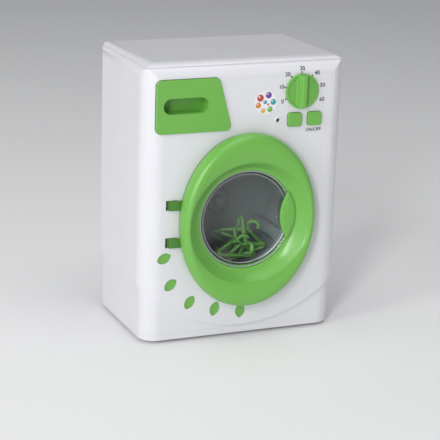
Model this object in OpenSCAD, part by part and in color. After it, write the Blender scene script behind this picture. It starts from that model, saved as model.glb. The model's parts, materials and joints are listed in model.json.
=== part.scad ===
// Toy washing machine with a round-window door, detergent drawer, programme knob and a
// battery-driven drum. X runs to the right, Y to the back and Z up, in millimetres. The
// origin is the middle of the footprint, on the surface that the feet stand on.
// Depths named d_ are measured backwards from the front face, so negative depths stand proud.

/* [Casing] */
// Width of the casing
body_w = 180; // [176:1:190]
// Depth of the casing from front face to back
body_d = 120; // [118:1:132]
// Height of the casing with its feet
body_h = 238; // [236:1:250]
// Wall thickness of the moulded shells
wall = 2.2; // [1.8:0.1:2.4]
// Radius of the upright corners
corner_r = 17; // [14:1:18]
// Radius of the roll along the top front edge
roll_r = 16; // [12:1:17]
// Radius of the other top edges
edge_r = 11; // [8:1:14]
// Depth of the front half of the casing
split_d = 60; // [59:0.5:61]
// Height of the lid above the seam
lid_h = 4; // [3:0.5:5]
// Height of the base tray's visible band
base_h = 6; // [5:0.5:7]
// Depth by which the foot of the casing steps in
kick_depth = 2.5; // [1.5:0.5:3]
// Radius of the curved step in the casing's foot
kick_r = 121; // [118:1:130]
// Height of the feet
foot_h = 3; // [2:0.5:4]
// Radius of a foot
foot_r = 8; // [6:0.5:9]

/* [Door] */
// Width of the oval door
door_w = 121; // [119:1:122]
// Height of the oval door
door_h = 149; // [146:1:150]
// How far the door ring stands proud of the front face
door_proud = 16; // [15:0.5:17]
// Radius of the round window
window_r = 42; // [41.5:0.25:42.5]
// Thickness of the clear window
window_t = 1.6; // [1.2:0.2:2]
// How far the window's bowl sinks behind its rim
bowl_depth = 8.5; // [7:0.5:9]
// Thickness of the ring's moulded skin
skin = 2.2; // [1.8:0.2:2.4]
// Opening angle of the door
door_open = 100; // [90:5:100]
// Length of the lens-shaped door grip
grip_len = 41; // [38:1:44]
// Width of the lens-shaped door grip
grip_w = 13.8; // [12:0.2:15]

/* [Drum] */
// Outer radius of the drum
drum_r = 50; // [49.5:0.25:50.5]
// Wall thickness of the drum
drum_wall = 1.6; // [1.2:0.2:2]
// Radius of the drum's mouth
mouth_r = 43; // [42:0.5:43.5]
// Height of the lifters inside the drum
lifter_h = 8; // [6:0.5:9]
// Radius of the drum shaft
shaft_r = 3; // [2.5:0.25:3]

/* [Drawer] */
// Height of the drawer front
drawer_h = 45; // [44:0.5:46]
// Width of the drawer front along its lower edge
drawer_w = 65.5; // [64:0.5:66]
// How far the right edge leans in at the top
drawer_lean = 9.7; // [6:0.1:10]
// Travel of the drawer
drawer_travel = 60; // [50:1:62]
// Length of the tray behind the drawer front
tray_len = 74; // [72:1:76]
// Length of the finger slot
slot_len = 39; // [34:1:40]
// Height of the finger slot
slot_h = 13; // [12:0.5:14]

/* [Controls] */
// Diameter of the programme knob
knob_d = 29.5; // [27:0.5:30]
// Height of the programme knob with its grip bar
knob_h = 7; // [6:0.5:8]
// Width of the grip bar across its top
knob_bar_w = 3.6; // [3:0.2:5]
// Turn of the knob to each side
knob_turn = 114; // [90:1:120]
// Width of a push button
button_w = 12.5; // [11:0.5:13]
// Height of a push button
button_h = 11.5; // [10:0.5:12]
// Travel of a push button
button_travel = 1.5; // [1:0.1:1.8]
// Radius of the indicator lamp
lamp_r = 1.5; // [1.5:0.25:2]

/* [Drive] */
// Module of the gears
gear_m = 0.8; // [0.8:0.05:0.8]
// Teeth of the drum gear
drum_teeth = 56; // [56:2:56]
// Teeth of the large reduction wheel
wheel_teeth = 42; // [42:2:42]
// Teeth of the small pinions
pinion_teeth = 14; // [14:1:14]
// Face width of the gears
gear_w = 5; // [4:0.5:5]
// Length of the motor can
motor_len = 25; // [22:1:25]

/* [Power] */
// Radius of a battery cell
cell_r = 7.1; // [6.8:0.1:7.1]
// Length of a battery cell
cell_len = 50.5; // [48:0.5:51]
// Number of battery cells
cell_count = 3; // [2:1:3]

/* [Fits] */
// Running clearance round a shaft
run_fit = 0.06; // [0.03:0.01:0.09]
// Loose clearance round a sliding or passing piece
slide_fit = 0.4; // [0.3:0.05:0.45]
// Gap between the door and the front face
door_gap = 0.6; // [0.5:0.1:0.8]

/* [Hidden] */
$fn = 64;

white = "gainsboro";
green = "limegreen";
metal = "silver";
far = 400;
eps = 0.01;

// Places that several pieces share
half_w = body_w / 2;
y_front = door_proud - (body_d + door_proud) / 2;
seam_z = body_h - lid_h;
base_top = foot_h + base_h;
kick_z = base_top + 2 + kick_r;
drawer_top = body_h - 12;
drawer_bottom = drawer_top - drawer_h;
door_z = drawer_bottom - 1.5 - door_h / 2;
knob_x = half_w - 42.3;
knob_z = body_h - 27.3;
button_drop = 23.8;
button_spread = 18.2;
button_z = knob_z - button_drop;
button_x = [knob_x - 5.7, knob_x - 5.7 + button_spread];
lamp_x = button_x[0] - 14.7;
badge_x = lamp_x - 11.8;
badge_z = knob_z - 8.3;
badge_r = 10;
case_post_r = 5;
case_post_in = 14;
case_post_rise = 24;
case_post_spread = 63;
case_post_x = half_w - case_post_in;
case_posts = [[case_post_x, case_post_rise], [-case_post_x, case_post_rise],
    [case_post_x, door_z + case_post_spread], [-case_post_x, door_z + case_post_spread],
    [0, body_h - case_post_in]];
screw_r = 1.5;
screw_head_r = 3.1;
screw_head_h = 2.4;
case_screw_len = 30;
case_seat_d = split_d + case_screw_len / 2;

// Vents: lens-shaped holes along a slightly flattened arc above the foot
vent_z = base_top + 96;
vent_angle = 202.4;
vent_step = 16.75;
vent_reach = [76.7, 83.5, 84.2, 81.4, 81.7];
vent_len = 13;
vent_w = 9;
vent_recess = 1.2;
vent_fit = 0.25;
vent_plate = 1.6;

// Door hinge and latch
hinge_x = -half_of_door() - 5;
hinge_d = 2;
hinge_reach = 16;
knuckle_w = 8;
knuckle_r = 3;
pin_r = 1.5;
pin_hold = 3.5;
plate_t = 1.8;
plate_front = door_gap + plate_t;
plate_inset = 1.5;
latch_x = door_w / 2 - 5.3;
latch_w = 10;
latch_t = 2.4;
latch_reach = 7;

// Porthole, drum and the frame that carries them
collar_len = 8.4;
collar_t = 2;
collar_r = mouth_r + 1.3;
collar_flange_r = collar_r + 7.2;
peg_r = 1.3;
drum_lamp_d = 6.2;
drum_d = collar_len + 0.6;
ring_t = 2;
hub_r = 9;
hub_t = 2.5;
frame_gap = 4;
frame_t = 3;
frame_x = half_w - 24;
frame_corner = [[-frame_x, -23], [frame_x, -23], [frame_x, 55], [-frame_x, 55]];
frame_post_r = 4.5;

// Gear train: the drum gear is driven by the reduction gear, and that by the motor pinion
drum_pitch = gear_m * drum_teeth / 2;
wheel_pitch = gear_m * wheel_teeth / 2;
pinion_pitch = gear_m * pinion_teeth / 2;
pressure = 25;
backlash = 0.2;
idler_angle = 45;
idler = (drum_pitch + pinion_pitch) * [cos(idler_angle), sin(idler_angle)];
motor_at = idler + [0, wheel_pitch + pinion_pitch];
wheel_w = gear_w - 1;
cover_t = 2;
end_cap_t = 2;
end_room = 1.8;

// Depths of the drive, stacked from the back wall towards the drum, which fills the rest
cover_back = body_d - wall - end_room - end_cap_t - motor_len;
cover_d = cover_back - cover_t;
wheel_d = cover_d - 2.5 - wheel_w;
gear_d = wheel_d - 1.5 - gear_w;
frame_back = gear_d - 3;
frame_d = frame_back - frame_t;
drum_back = frame_d - frame_gap;
drum_depth = drum_back - drum_d;
gear_posts = [[-18, -27], [46, 5], [42, 45], [-22, 27]];
cover_outline = [[-18, -27], [46, 5], [42, 45], [4, 62], [-22, 27]];
gear_post_r = 3.5;
gear_post_bore = 1.23;
gear_post_screw = 10;
axle_r = 2;
motor_shaft_r = 1;
motor_r = 10;
motor_flat = 7.6;

// Battery compartment, low in the rear half
back_d = body_d;
back_in = back_d - wall;
box_t = 2;
cell_pitch = 2 * cell_r + 0.8;
cells_x = cell_len / 2 + 3.75;
box_screw_room = 8;
cells_h = cell_pitch * cell_count + 0.9;
box_bottom = base_top + 13;
box_h = cells_h + box_screw_room;
cell_d = back_in - 2.2 - cell_r;
box_front = cell_d - cell_r - 1.4;

// Drawer
drawer_left = 9 - half_w;
drawer_r = 5;
drawer_proud = 1.8;
slot_x = drawer_left + 25.5;
slot_z = drawer_top - 22;
slot_depth = 14;
cup_t = 1.4;
tray_wall = 1.5;
tray_left = drawer_left + 2.5;
tray_right = drawer_left + drawer_w - drawer_lean - 4.3;
tray_bottom = drawer_bottom + 3.5;
tray_top = drawer_top - 5;
tray_front = 2;
flange_t = 1.8;
flange_back = wall + flange_t;
guide_wall = 1.6;
tab_h = 1.2;
tab_x = [tray_left + 18, tray_left + 30];

// Control board
board_d = 14;
board_t = 1.6;
board_inset = 4;
board_low = button_z - 8.2;
board_high = knob_z + 15;
board_left = lamp_x - 6.3;
board_right = half_w - 13;
board_posts = [[board_left + board_inset, board_high - board_inset],
    [board_right - board_inset, board_high - board_inset],
    [board_right - board_inset, board_low + 3.5], [board_left + board_inset, board_low + 2.5]];
board_post_r = 3;
board_screw_r = 1;
board_screw_len = 7;
knob_gap = 0.5;
switch_w = 7;
switch_t = 5;
dial_switch_w = 16;
dial_switch_t = 7;

function half_of_door() = door_w / 2;

// Routes of the leads inside the casing, as [x, depth, z]
lead_r = 0.9;
lead_end = board_d + board_t;
lead_x = half_w - 5.5;
motor_back = cover_back + motor_len + 1;
motor_x = motor_at[0];
battery_route = [[cells_x + box_t, body_d - 12, 50], [38, body_d - 12, 50],
    [lead_x - 32.5, body_d - 14, 50], [lead_x - 16.5, body_d - 19, 54],
    [lead_x - 4.5, body_d - 27, 66], [lead_x - 0.5, body_d - 36, 90],
    [lead_x, body_d - 50, door_z + 15], [lead_x, 50, door_z + 40], [lead_x - 0.5, 34, door_z + 59],
    [lead_x - 3.5, 24, door_z + 75], [board_right - 3, 20, button_z + 1.1],
    [board_right - 7, 18.5, button_z + 3.1], [board_right - 7, lead_end, button_z + 3.1]];
motor_route = [[motor_x, motor_back, door_z + motor_at[1] + motor_flat - 0.6],
    [motor_x, motor_back, door_z + 53], [motor_x + 1.2, motor_back - 5, door_z + 61],
    [motor_x + 6.2, motor_back - 19, door_z + 71], [knob_x - 15.7, motor_back - 41, door_z + 81],
    [knob_x - 9.7, 48, door_z + 88], [knob_x - 4.7, 28, knob_z - 13.7],
    [knob_x - 1.7, 20, knob_z - 12.7], [knob_x - 1.7, lead_end, knob_z - 12.7]];
lamp_route = [[0, drum_lamp_d, door_z + collar_r + 9], [0, drum_lamp_d, door_z + 57],
    [5, 8, door_z + 63], [13, 13, door_z + 69], [board_left + 1, 19, door_z + 77],
    [board_left + 8, 21, door_z + 83], [board_left + 9, 19, door_z + 85],
    [board_left + 9, lead_end, door_z + 85]];

// ---- Shared helpers ----

// Extrudes a drawing in X and Z between two depths behind the front face
module slab(d_from, d_to)
    translate([0, y_front + d_to, 0]) rotate([90, 0, 0]) linear_extrude(d_to - d_from) children();

// A round bar along Y
module bar(at, r, d_from, d_to) slab(d_from, d_to) translate(at) circle(r);

// Revolves a profile of [radius, depth] points about an axis along Y
module turned(at, profile)
    translate([at[0], y_front, at[1]]) rotate([90, 0, 0]) rotate_extrude($fn = 96)
        polygon([for (p = profile) [p[0], -p[1]]]);

// Convex outline through equal circles at anticlockwise centres
module soft_outline(centres, r) {
    n = len(centres);
    polygon([for (i = [0 : n - 1]) each
        let (a = centres[i], b = centres[(i + 1) % n], e = b - a, u = [e[1], -e[0]] / norm(e))
        [a + r * u, b + r * u]]);
    for (c = centres) translate(c) circle(r);
}

// Rectangle with rounded corners between two opposite points
module soft_box(low, high, r)
    soft_outline([[low[0] + r, low[1] + r], [high[0] - r, low[1] + r],
        [high[0] - r, high[1] - r], [low[0] + r, high[1] - r]], r);

// Lens shape made of two equal arcs, long along X
module lens(length, width) {
    arc_r = (length * length + width * width) / (4 * width);
    intersection() {
        translate([0, arc_r - width / 2]) circle(arc_r);
        translate([0, width / 2 - arc_r]) circle(arc_r);
    }
}

// Points of an ellipse
function oval(a, b, n = 60) = [for (i = [0 : n - 1]) [a * cos(360 * i / n), b * sin(360 * i / n)]];

// Screw along Y: its head lies behind depth d_head when dir is 1, in front when dir is -1
module screw(at, d_head, length, r, head_r, head_h, dir = 1) {
    bar(at, r, min(d_head, d_head - dir * length), max(d_head, d_head - dir * length));
    bar(at, head_r, min(d_head, d_head + dir * head_h), max(d_head, d_head + dir * head_h));
}

// ---- Casing ----

module rounded_top(low, high, top, r_low, r_high)
    difference() {
        translate([low, -far]) square([high - low, far + top]);
        difference() {
            translate([low - 1, top - r_low]) square([r_low + 1, r_low + 1]);
            translate([low + r_low, top - r_low]) circle(r_low);
        }
        difference() {
            translate([high - r_high, top - r_high]) square([r_high + 1, r_high + 1]);
            translate([high - r_high, top - r_high]) circle(r_high);
        }
    }

// The casing's form, drawn in by an even inset
module casing(inset)
    intersection() {
        linear_extrude(body_h) soft_box([-half_w + inset, y_front + inset],
            [half_w - inset, y_front + body_d - inset], corner_r - inset);
        translate([-far / 2, 0, 0]) rotate([90, 0, 90]) linear_extrude(far)
            rounded_top(y_front + inset, y_front + body_d - inset, body_h - inset,
                roll_r - inset, edge_r - inset);
        slab(-far / 2, far / 2)
            rounded_top(-half_w + inset, half_w - inset, body_h - inset,
                edge_r - inset, edge_r - inset);
    }

// The same form with its foot stepped in below the curved crease
module envelope(inset)
    difference() {
        casing(inset);
        difference() {
            slab(-far / 2, far / 2) difference() {
                translate([-half_w - 1, 0]) square([body_w + 2, kick_z - kick_r / 2]);
                translate([0, kick_z]) circle(kick_r - inset, $fn = 128);
            }
            casing(inset + kick_depth);
        }
    }

// Space between two depths and two heights
module between(d_from, d_to, z_from, z_to)
    translate([-far / 2, y_front + d_from, z_from]) cube([far, d_to - d_from, z_to - z_from]);

module drawer_outline(grow)
    soft_outline([[drawer_left + drawer_r, drawer_bottom + drawer_r],
        [drawer_left + drawer_w - drawer_r, drawer_bottom + drawer_r],
        [drawer_left + drawer_w - drawer_lean - drawer_r, drawer_top - drawer_r],
        [drawer_left + drawer_r, drawer_top - drawer_r]], drawer_r + grow);

module vents(fit)
    for (i = [0 : len(vent_reach) - 1])
        translate([0, vent_z]) rotate(vent_angle + vent_step * i) translate([vent_reach[i], 0])
            lens(vent_len - 2 * fit, vent_w - 2 * fit);

module buttons_outline(grow)
    for (x = button_x) translate([x, button_z]) button_outline(grow);

module button_outline(grow)
    soft_box([-button_w / 2 - grow, -button_h / 2 - grow],
        [button_w / 2 + grow, button_h / 2 + grow], 2.5);

// Mirrored pair of places, one above and one below the middle of the door
module at_hinges() for (s = [-1, 1]) translate([0, 0, door_z + s * hinge_reach]) children();

pocket_w = knuckle_w + 2 * 0.3;
block_w = pocket_w + 2 * pin_hold;
pocket_left = hinge_x - 5;
pocket_right = hinge_x + 5.3;
pocket_back = hinge_d + knuckle_r + 0.7;

module hinge_block(grow = 0)
    translate([pocket_left - 1.5 - grow, y_front + 1, -block_w / 2 - grow])
        cube([pocket_right - pocket_left + 2.7 + 2 * grow, pocket_back + 0.3, block_w + 2 * grow]);

module hinge_pocket() {
    translate([pocket_left, y_front - 1, -pocket_w / 2])
        cube([pocket_right - pocket_left, pocket_back + 1, pocket_w]);
    translate([hinge_x, y_front + hinge_d, -block_w / 2 + 0.5])
        cylinder(r = pin_r + 0.02, h = block_w - 1);
}

module front_posts() {
    for (p = case_posts) bar(p, case_post_r, 0, split_d);
}

module front_shell()
    color(white) difference() {
        union() {
            intersection() {
                difference() {
                    envelope(0);
                    envelope(wall);
                }
                between(-1, split_d, base_top, seam_z);
            }
            intersection() {
                front_posts();
                envelope(wall / 2);
                between(0, split_d, base_top, seam_z);
            }
            at_hinges() hinge_block();
            for (p = board_posts) bar(p, board_post_r, wall - 0.5, board_d);
            for (a = [45 : 90 : 315])
                bar(collar_peg(a), peg_r, wall - 0.5, wall + 3.2);
        }
        bar([0, door_z], collar_r + collar_t + 0.2, -1, wall + 1);
        slab(-1, wall + 3) drawer_outline(0);
        slab(-1, wall + 1) vents(0);
        slab(-1, wall + 1) buttons_outline(0.3);
        bar([knob_x, knob_z], shaft_r + 0.4, -1, wall + 1);
        bar([lamp_x, button_z], lamp_r + 0.1, -1, wall + 1);
        translate([lamp_x, y_front - eps, button_z]) rotate([-90, 0, 0])
            cylinder(r1 = lamp_r + 1.3, r2 = lamp_r + 0.1, h = 1.2);
        at_hinges() hinge_pocket();
        translate([latch_x - 1, y_front - 1, door_z - latch_w / 2 - 0.8])
            cube([latch_t + 2.8, wall + 2, latch_w + 1.6]);
        for (p = case_posts)
            bar(p, screw_r + 0.03, case_seat_d - case_screw_len - 2, split_d + 1);
        for (p = board_posts)
            bar(p, board_screw_r + 0.03, board_d - board_screw_len, board_d + 1);
    }

function collar_peg(a) = [(collar_flange_r - 2.4) * cos(a), door_z + (collar_flange_r - 2.4) * sin(a)];

module rear_shell()
    color(white) difference() {
        union() {
            intersection() {
                difference() {
                    envelope(0);
                    envelope(wall);
                }
                between(split_d, body_d + 1, base_top, seam_z);
            }
            intersection() {
                union() {
                    for (p = case_posts) bar(p, case_post_r, split_d, back_d);
                    for (c = frame_corner)
                        bar([c[0], door_z + c[1]], frame_post_r, frame_back, back_d);
                }
                envelope(wall / 2);
            }
        }
        for (p = case_posts) {
            bar(p, screw_r + 0.2, split_d - 1, back_d);
            bar(p, screw_head_r + 0.3, case_seat_d, back_d + 1);
        }
        for (c = frame_corner)
            bar([c[0], door_z + c[1]], screw_r + 0.03, frame_back - 1, frame_back + 13);
        slab(back_in - 1, back_d + 1) cell_opening(0);
    }

module cell_opening(grow)
    translate([-cells_x - grow, box_bottom + box_t - grow])
        square([2 * (cells_x + grow), box_h + 2 * grow]);

lid_skirt_z = seam_z - 5;
lid_step = 0.5;

module top_cover()
    color(white) {
        difference() {
            union() {
                intersection() {
                    casing(0);
                    between(-1, body_d + 1, seam_z + 0.8, body_h + 1);
                }
                intersection() {
                    casing(lid_step);
                    between(-1, body_d + 1, seam_z, seam_z + 1);
                }
                intersection() {
                    casing(wall + 0.2);
                    between(-1, body_d + 1, lid_skirt_z, seam_z + 1);
                }
            }
            intersection() {
                casing(wall + 1.8);
                between(-1, body_d + 1, lid_skirt_z - 1, body_h);
            }
        }
    }

foot_inset = 20;
foot_x = half_w - foot_inset;
foot_y = body_d / 2 - foot_inset;
foot_peg_r = 3;
base_in = kick_depth + wall + 0.2;

module at_feet()
    for (x = [-foot_x, foot_x], y = [-foot_y, foot_y])
        translate([x, y_front + body_d / 2 + y, 0]) children();

module base_tray()
    color(white) difference() {
        union() {
            intersection() {
                casing(kick_depth + 0.6);
                between(-1, body_d + 1, foot_h, base_top);
            }
            intersection() {
                casing(base_in);
                between(-1, body_d + 1, base_top - 1, base_top + 5);
            }
        }
        intersection() {
            casing(base_in + 1.8);
            between(-1, body_d + 1, foot_h + 2.4, base_top + 6);
        }
        at_feet() translate([0, 0, foot_h - 1]) cylinder(r = foot_peg_r + 0.1, h = 6);
    }

module feet()
    color("dimgray") at_feet() {
        cylinder(r = foot_r, h = foot_h);
        cylinder(r = foot_peg_r, h = foot_h + 3.4);
    }

module vent_insert()
    color(green) difference() {
        intersection() {
            union() {
                slab(wall, wall + vent_plate) difference() {
                    translate([0, vent_z]) intersection() {
                        difference() {
                            circle(min(vent_reach) + 12, $fn = 96);
                            circle(min(vent_reach) - 3.7, $fn = 96);
                        }
                        polygon([[0, 0], for (a = [vent_angle - 3, vent_angle + 2 * vent_step,
                            vent_angle + 4 * vent_step + 5]) body_h * [cos(a), sin(a)]]);
                    }
                    translate([0, door_z]) circle(collar_flange_r + slide_fit);
                }
                slab(vent_recess, wall + eps) vents(vent_fit);
            }
            union() {
                envelope(wall + 0.1);
                slab(-1, wall + 1) vents(vent_fit);
            }
        }
        at_hinges() hinge_block(slide_fit);
    }

module badge() color("whitesmoke") bar([badge_x, badge_z], badge_r, -0.3, 0);

module porthole_collar()
    color(white) difference() {
        union() {
            turned([0, door_z], [[collar_r, 0], [collar_r + collar_t, 0],
                [collar_r + collar_t, wall], [collar_flange_r, wall],
                [collar_flange_r, flange_back], [collar_r + collar_t, flange_back],
                [collar_r + collar_t, collar_len], [collar_r, collar_len]]);
            translate([-4, y_front + flange_back - eps, door_z + collar_r + 0.5])
                cube([8, collar_len - flange_back, 7]);
        }
        for (a = [45 : 90 : 315]) bar(collar_peg(a), peg_r + 0.05, 0, collar_len);
        translate([0, y_front + drum_lamp_d, door_z + collar_r - 1])
            cylinder(r = lamp_r + 0.05, h = 10);
    }

module drum_lamp()
    color("lightyellow") translate([0, y_front + drum_lamp_d, door_z + collar_r]) {
        translate([0, 0, 0.6]) cylinder(r = lamp_r, h = 8.4);
        translate([0, 0, 7.5]) cylinder(r = lamp_r + 0.4, h = 1.5);
    }

// ---- Drive ----

module frame_plate(centres, r, d_from, d_to)
    slab(d_from, d_to) translate([0, door_z]) soft_outline(centres, r);

module drum_frame()
    color("gray") difference() {
        union() {
            frame_plate(frame_corner, 7, frame_d, frame_back);
            for (p = gear_posts) bar([p[0], door_z + p[1]], gear_post_r, frame_back - 1, cover_d);
        }
        bar([0, door_z], bush_r + 0.05, frame_d - 1, frame_back + 1);
        for (c = frame_corner)
            bar([c[0], door_z + c[1]], screw_r + 0.2, frame_d - 1, frame_back + 1);
        bar([idler[0], door_z + idler[1]], axle_r + 0.03, frame_back - 2, frame_back + 1);
        for (p = gear_posts)
            bar([p[0], door_z + p[1]], gear_post_bore, cover_d - gear_post_screw, cover_d + 1);
    }

module frame_screws()
    color(metal) for (c = frame_corner)
        screw([c[0], door_z + c[1]], frame_d, 14, screw_r, screw_head_r, screw_head_h, -1);

bush_r = shaft_r + 3;

module drum_bush()
    color("burlywood") difference() {
        union() {
            bar([0, door_z], bush_r + 2, frame_d - 1, frame_d);
            bar([0, door_z], bush_r, frame_d - 1, frame_back + 1.5);
        }
        bar([0, door_z], shaft_r + run_fit, frame_d - 2, frame_back + 2);
    }

module gear_cover()
    color("gray") difference() {
        frame_plate(cover_outline, 6, cover_d, cover_back);
        bar([0, door_z], shaft_r + run_fit, cover_d - 1, cover_back + 1);
        bar([idler[0], door_z + idler[1]], axle_r + 0.03, cover_d - 1, cover_back + 1);
        bar([motor_at[0], door_z + motor_at[1]], 3.1, cover_d - 1, cover_back + 1);
        for (p = gear_posts) bar([p[0], door_z + p[1]], 1.4, cover_d - 1, cover_back + 1);
    }

module gear_cover_screws()
    color(metal) for (p = gear_posts)
        screw([p[0], door_z + p[1]], cover_back, gear_post_screw, gear_post_bore - 0.03, 2.6, 1.6);

module gear_axle()
    color(metal) bar([idler[0], door_z + idler[1]], axle_r, frame_back - 2, cover_back);

module motor_section(grow)
    translate([motor_at[0], door_z + motor_at[1]]) intersection() {
        circle(motor_r + grow);
        square([2 * motor_r + 5, 2 * (motor_flat + grow)], center = true);
    }

module motor_can()
    color(metal) difference() {
        union() {
            slab(cover_back, cover_back + motor_len) motor_section(0);
            bar([motor_at[0], door_z + motor_at[1]], 3, cover_back - 1.5, cover_back + 1);
        }
        bar([motor_at[0], door_z + motor_at[1]], motor_shaft_r + run_fit,
            cover_back - 2, cover_back + motor_len + 1);
    }

module motor_end_cap()
    color("black") difference() {
        slab(cover_back + motor_len, cover_back + motor_len + end_cap_t) motor_section(-0.6);
        bar([motor_at[0], door_z + motor_at[1]], motor_shaft_r + run_fit,
            cover_back + motor_len - 1, cover_back + motor_len + 1);
    }

module motor_strap()
    color("gray") {
        slab(cover_back + 9, cover_back + 15) difference() {
            motor_section(2.2);
            motor_section(0.2);
        }
        for (s = [-1, 1])
            translate([motor_at[0] + s * (motor_r + 1.2) - 1, y_front + cover_back,
                door_z + motor_at[1] - 4])
                cube([2, 15, 8]);
    }

// ---- Gears ----

function involute(r, base) = r <= base ? 0 : tan(acos(base / r)) * 180 / PI - acos(base / r);

// Angle from a tooth's middle to its flank at radius r
function flank(r, pitch, teeth) = 90 / teeth - backlash / 2 / pitch * 90 / PI
    + involute(pitch, pitch * cos(pressure)) - involute(r, pitch * cos(pressure));

function gear_points(teeth) = let (pitch = gear_m * teeth / 2, tip = pitch + 0.9 * gear_m,
    root = pitch - 1.2 * gear_m, reach = [for (k = [0 : 4]) root + (tip - root) * k / 4])
    [for (i = [0 : teeth - 1], k = [0 : 9])
        let (r = k < 5 ? reach[k] : reach[9 - k], side = k < 5 ? -1 : 1,
            a = 360 * i / teeth + side * flank(r, pitch, teeth))
        r * [cos(a), sin(a)]];

module gear(at, teeth, turn, d_from, d_to, bore)
    slab(d_from, d_to) translate([at[0], door_z + at[1]]) difference() {
        rotate(turn) polygon(gear_points(teeth));
        circle(bore);
    }

module drum_gear()
    color("ivory") {
        gear([0, 0], drum_teeth, idler_angle, gear_d, gear_d + gear_w, shaft_r);
        slab(gear_d + gear_w - eps, cover_d - 1) translate([0, door_z]) difference() {
            circle(shaft_r + 2.5);
            circle(shaft_r);
        }
    }

module reduction_gear()
    color("ivory") {
        gear(idler, pinion_teeth, idler_angle + 180 + 180 / pinion_teeth,
            gear_d - 0.5, wheel_d + eps, axle_r + run_fit);
        gear(idler, wheel_teeth, 90, wheel_d, wheel_d + wheel_w, axle_r + run_fit);
    }

module motor_pinion()
    color("ivory") gear(motor_at, pinion_teeth, -90 + 180 / pinion_teeth,
        wheel_d - 0.5, wheel_d + wheel_w + 0.5, motor_shaft_r);

module motor_shaft()
    color(metal) bar([motor_at[0], door_z + motor_at[1]], motor_shaft_r,
        wheel_d - 1, cover_back + motor_len + 0.8);

// ---- Drum ----

drum_in = drum_r - drum_wall;
nut_r = 5;

module drum_shell()
    color(white) difference() {
        turned([0, door_z], [[shaft_r, drum_back - 6], [hub_r, drum_back - 6],
            [hub_r + 3, drum_back - 2], [drum_in, drum_back - 2], [drum_in, drum_d + ring_t],
            [drum_r, drum_d + ring_t], [drum_r, drum_back], [hub_r, drum_back],
            [hub_r, drum_back + hub_t], [shaft_r, drum_back + hub_t]]);
        // Drain holes between the lifters
        for (a = [0 : 30 : 330], k = [0 : 2])
            translate([0, y_front + drum_d + 12 + k * (drum_depth - 27) / 2, door_z]) rotate([0, a + 15, 0])
                translate([0, 0, drum_in - 3]) cylinder(r = 1.6, h = 8);
    }

module drum_front_ring()
    color(white) slab(drum_d, drum_d + ring_t) translate([0, door_z]) difference() {
        circle(drum_r, $fn = 96);
        circle(mouth_r, $fn = 96);
        for (i = [0 : 35]) rotate(10 * i) translate([mouth_r + 1.6, -0.8]) square([3, 1.6]);
    }

// Upright section of one lifter, drawn at the top of the drum
module lifter_section()
    intersection() {
        circle(drum_in, $fn = 96);
        soft_outline([[-3, drum_in - lifter_h + 2], [3, drum_in - lifter_h + 2],
            [4.5, drum_in + 2], [-4.5, drum_in + 2]], 2);
    }

module drum_lifters()
    color(white) slab(drum_d + ring_t, drum_back - 2) translate([0, door_z])
        for (a = [0, 120, 240]) rotate(a) lifter_section();

module drum_shaft()
    color(metal) bar([0, door_z], shaft_r, drum_back - 9, cover_back + 1);

module drum_nut()
    color(metal) turned([0, door_z], [[0, drum_back - 11], [nut_r - 1.5, drum_back - 11],
        [nut_r, drum_back - 9.5], [nut_r, drum_back - 6], [shaft_r, drum_back - 6],
        [shaft_r, drum_back - 9], [0, drum_back - 9]]);

// Toy clothes hangers that lie in the bottom of the drum
hanger_w = 54;
hanger_h = 17;
hanger_t = 2.6;
hanger_bar = 2;
hanger_rolls = [-7, 8, -2, 12];
hanger_pitch = (drum_depth - 26.5) / (len(hanger_rolls) - 1);
hanger_tip = 3;
hanger_seat = -hanger_tip
    - sqrt(pow(drum_in - hanger_tip - 0.3, 2) - pow(hanger_w / 2 - hanger_tip, 2));

module hanger_outline(grow)
    soft_outline([[-hanger_w / 2 + hanger_tip, hanger_tip], [hanger_w / 2 - hanger_tip, hanger_tip],
        [0, hanger_h]], hanger_tip + grow);

module hanger()
    translate([0, hanger_t / 2, 0]) rotate([90, 0, 0]) linear_extrude(hanger_t) {
        difference() {
            hanger_outline(0);
            hanger_outline(-hanger_bar - 0.3);
        }
        translate([0, hanger_h + 1]) square([3, 6], center = true);
        translate([2.5, hanger_h + 6.5]) difference() {
            circle(4.5);
            circle(2.2);
            translate([-6, -6]) square([6, 6]);
        }
    }

module hangers()
    color("forestgreen") for (i = [0 : len(hanger_rolls) - 1])
        translate([0, y_front + drum_d + 9 + hanger_pitch * i, door_z])
            rotate([0, hanger_rolls[i], 0])
                translate([0, 0, hanger_seat]) hanger();

// ---- Door ----

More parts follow.
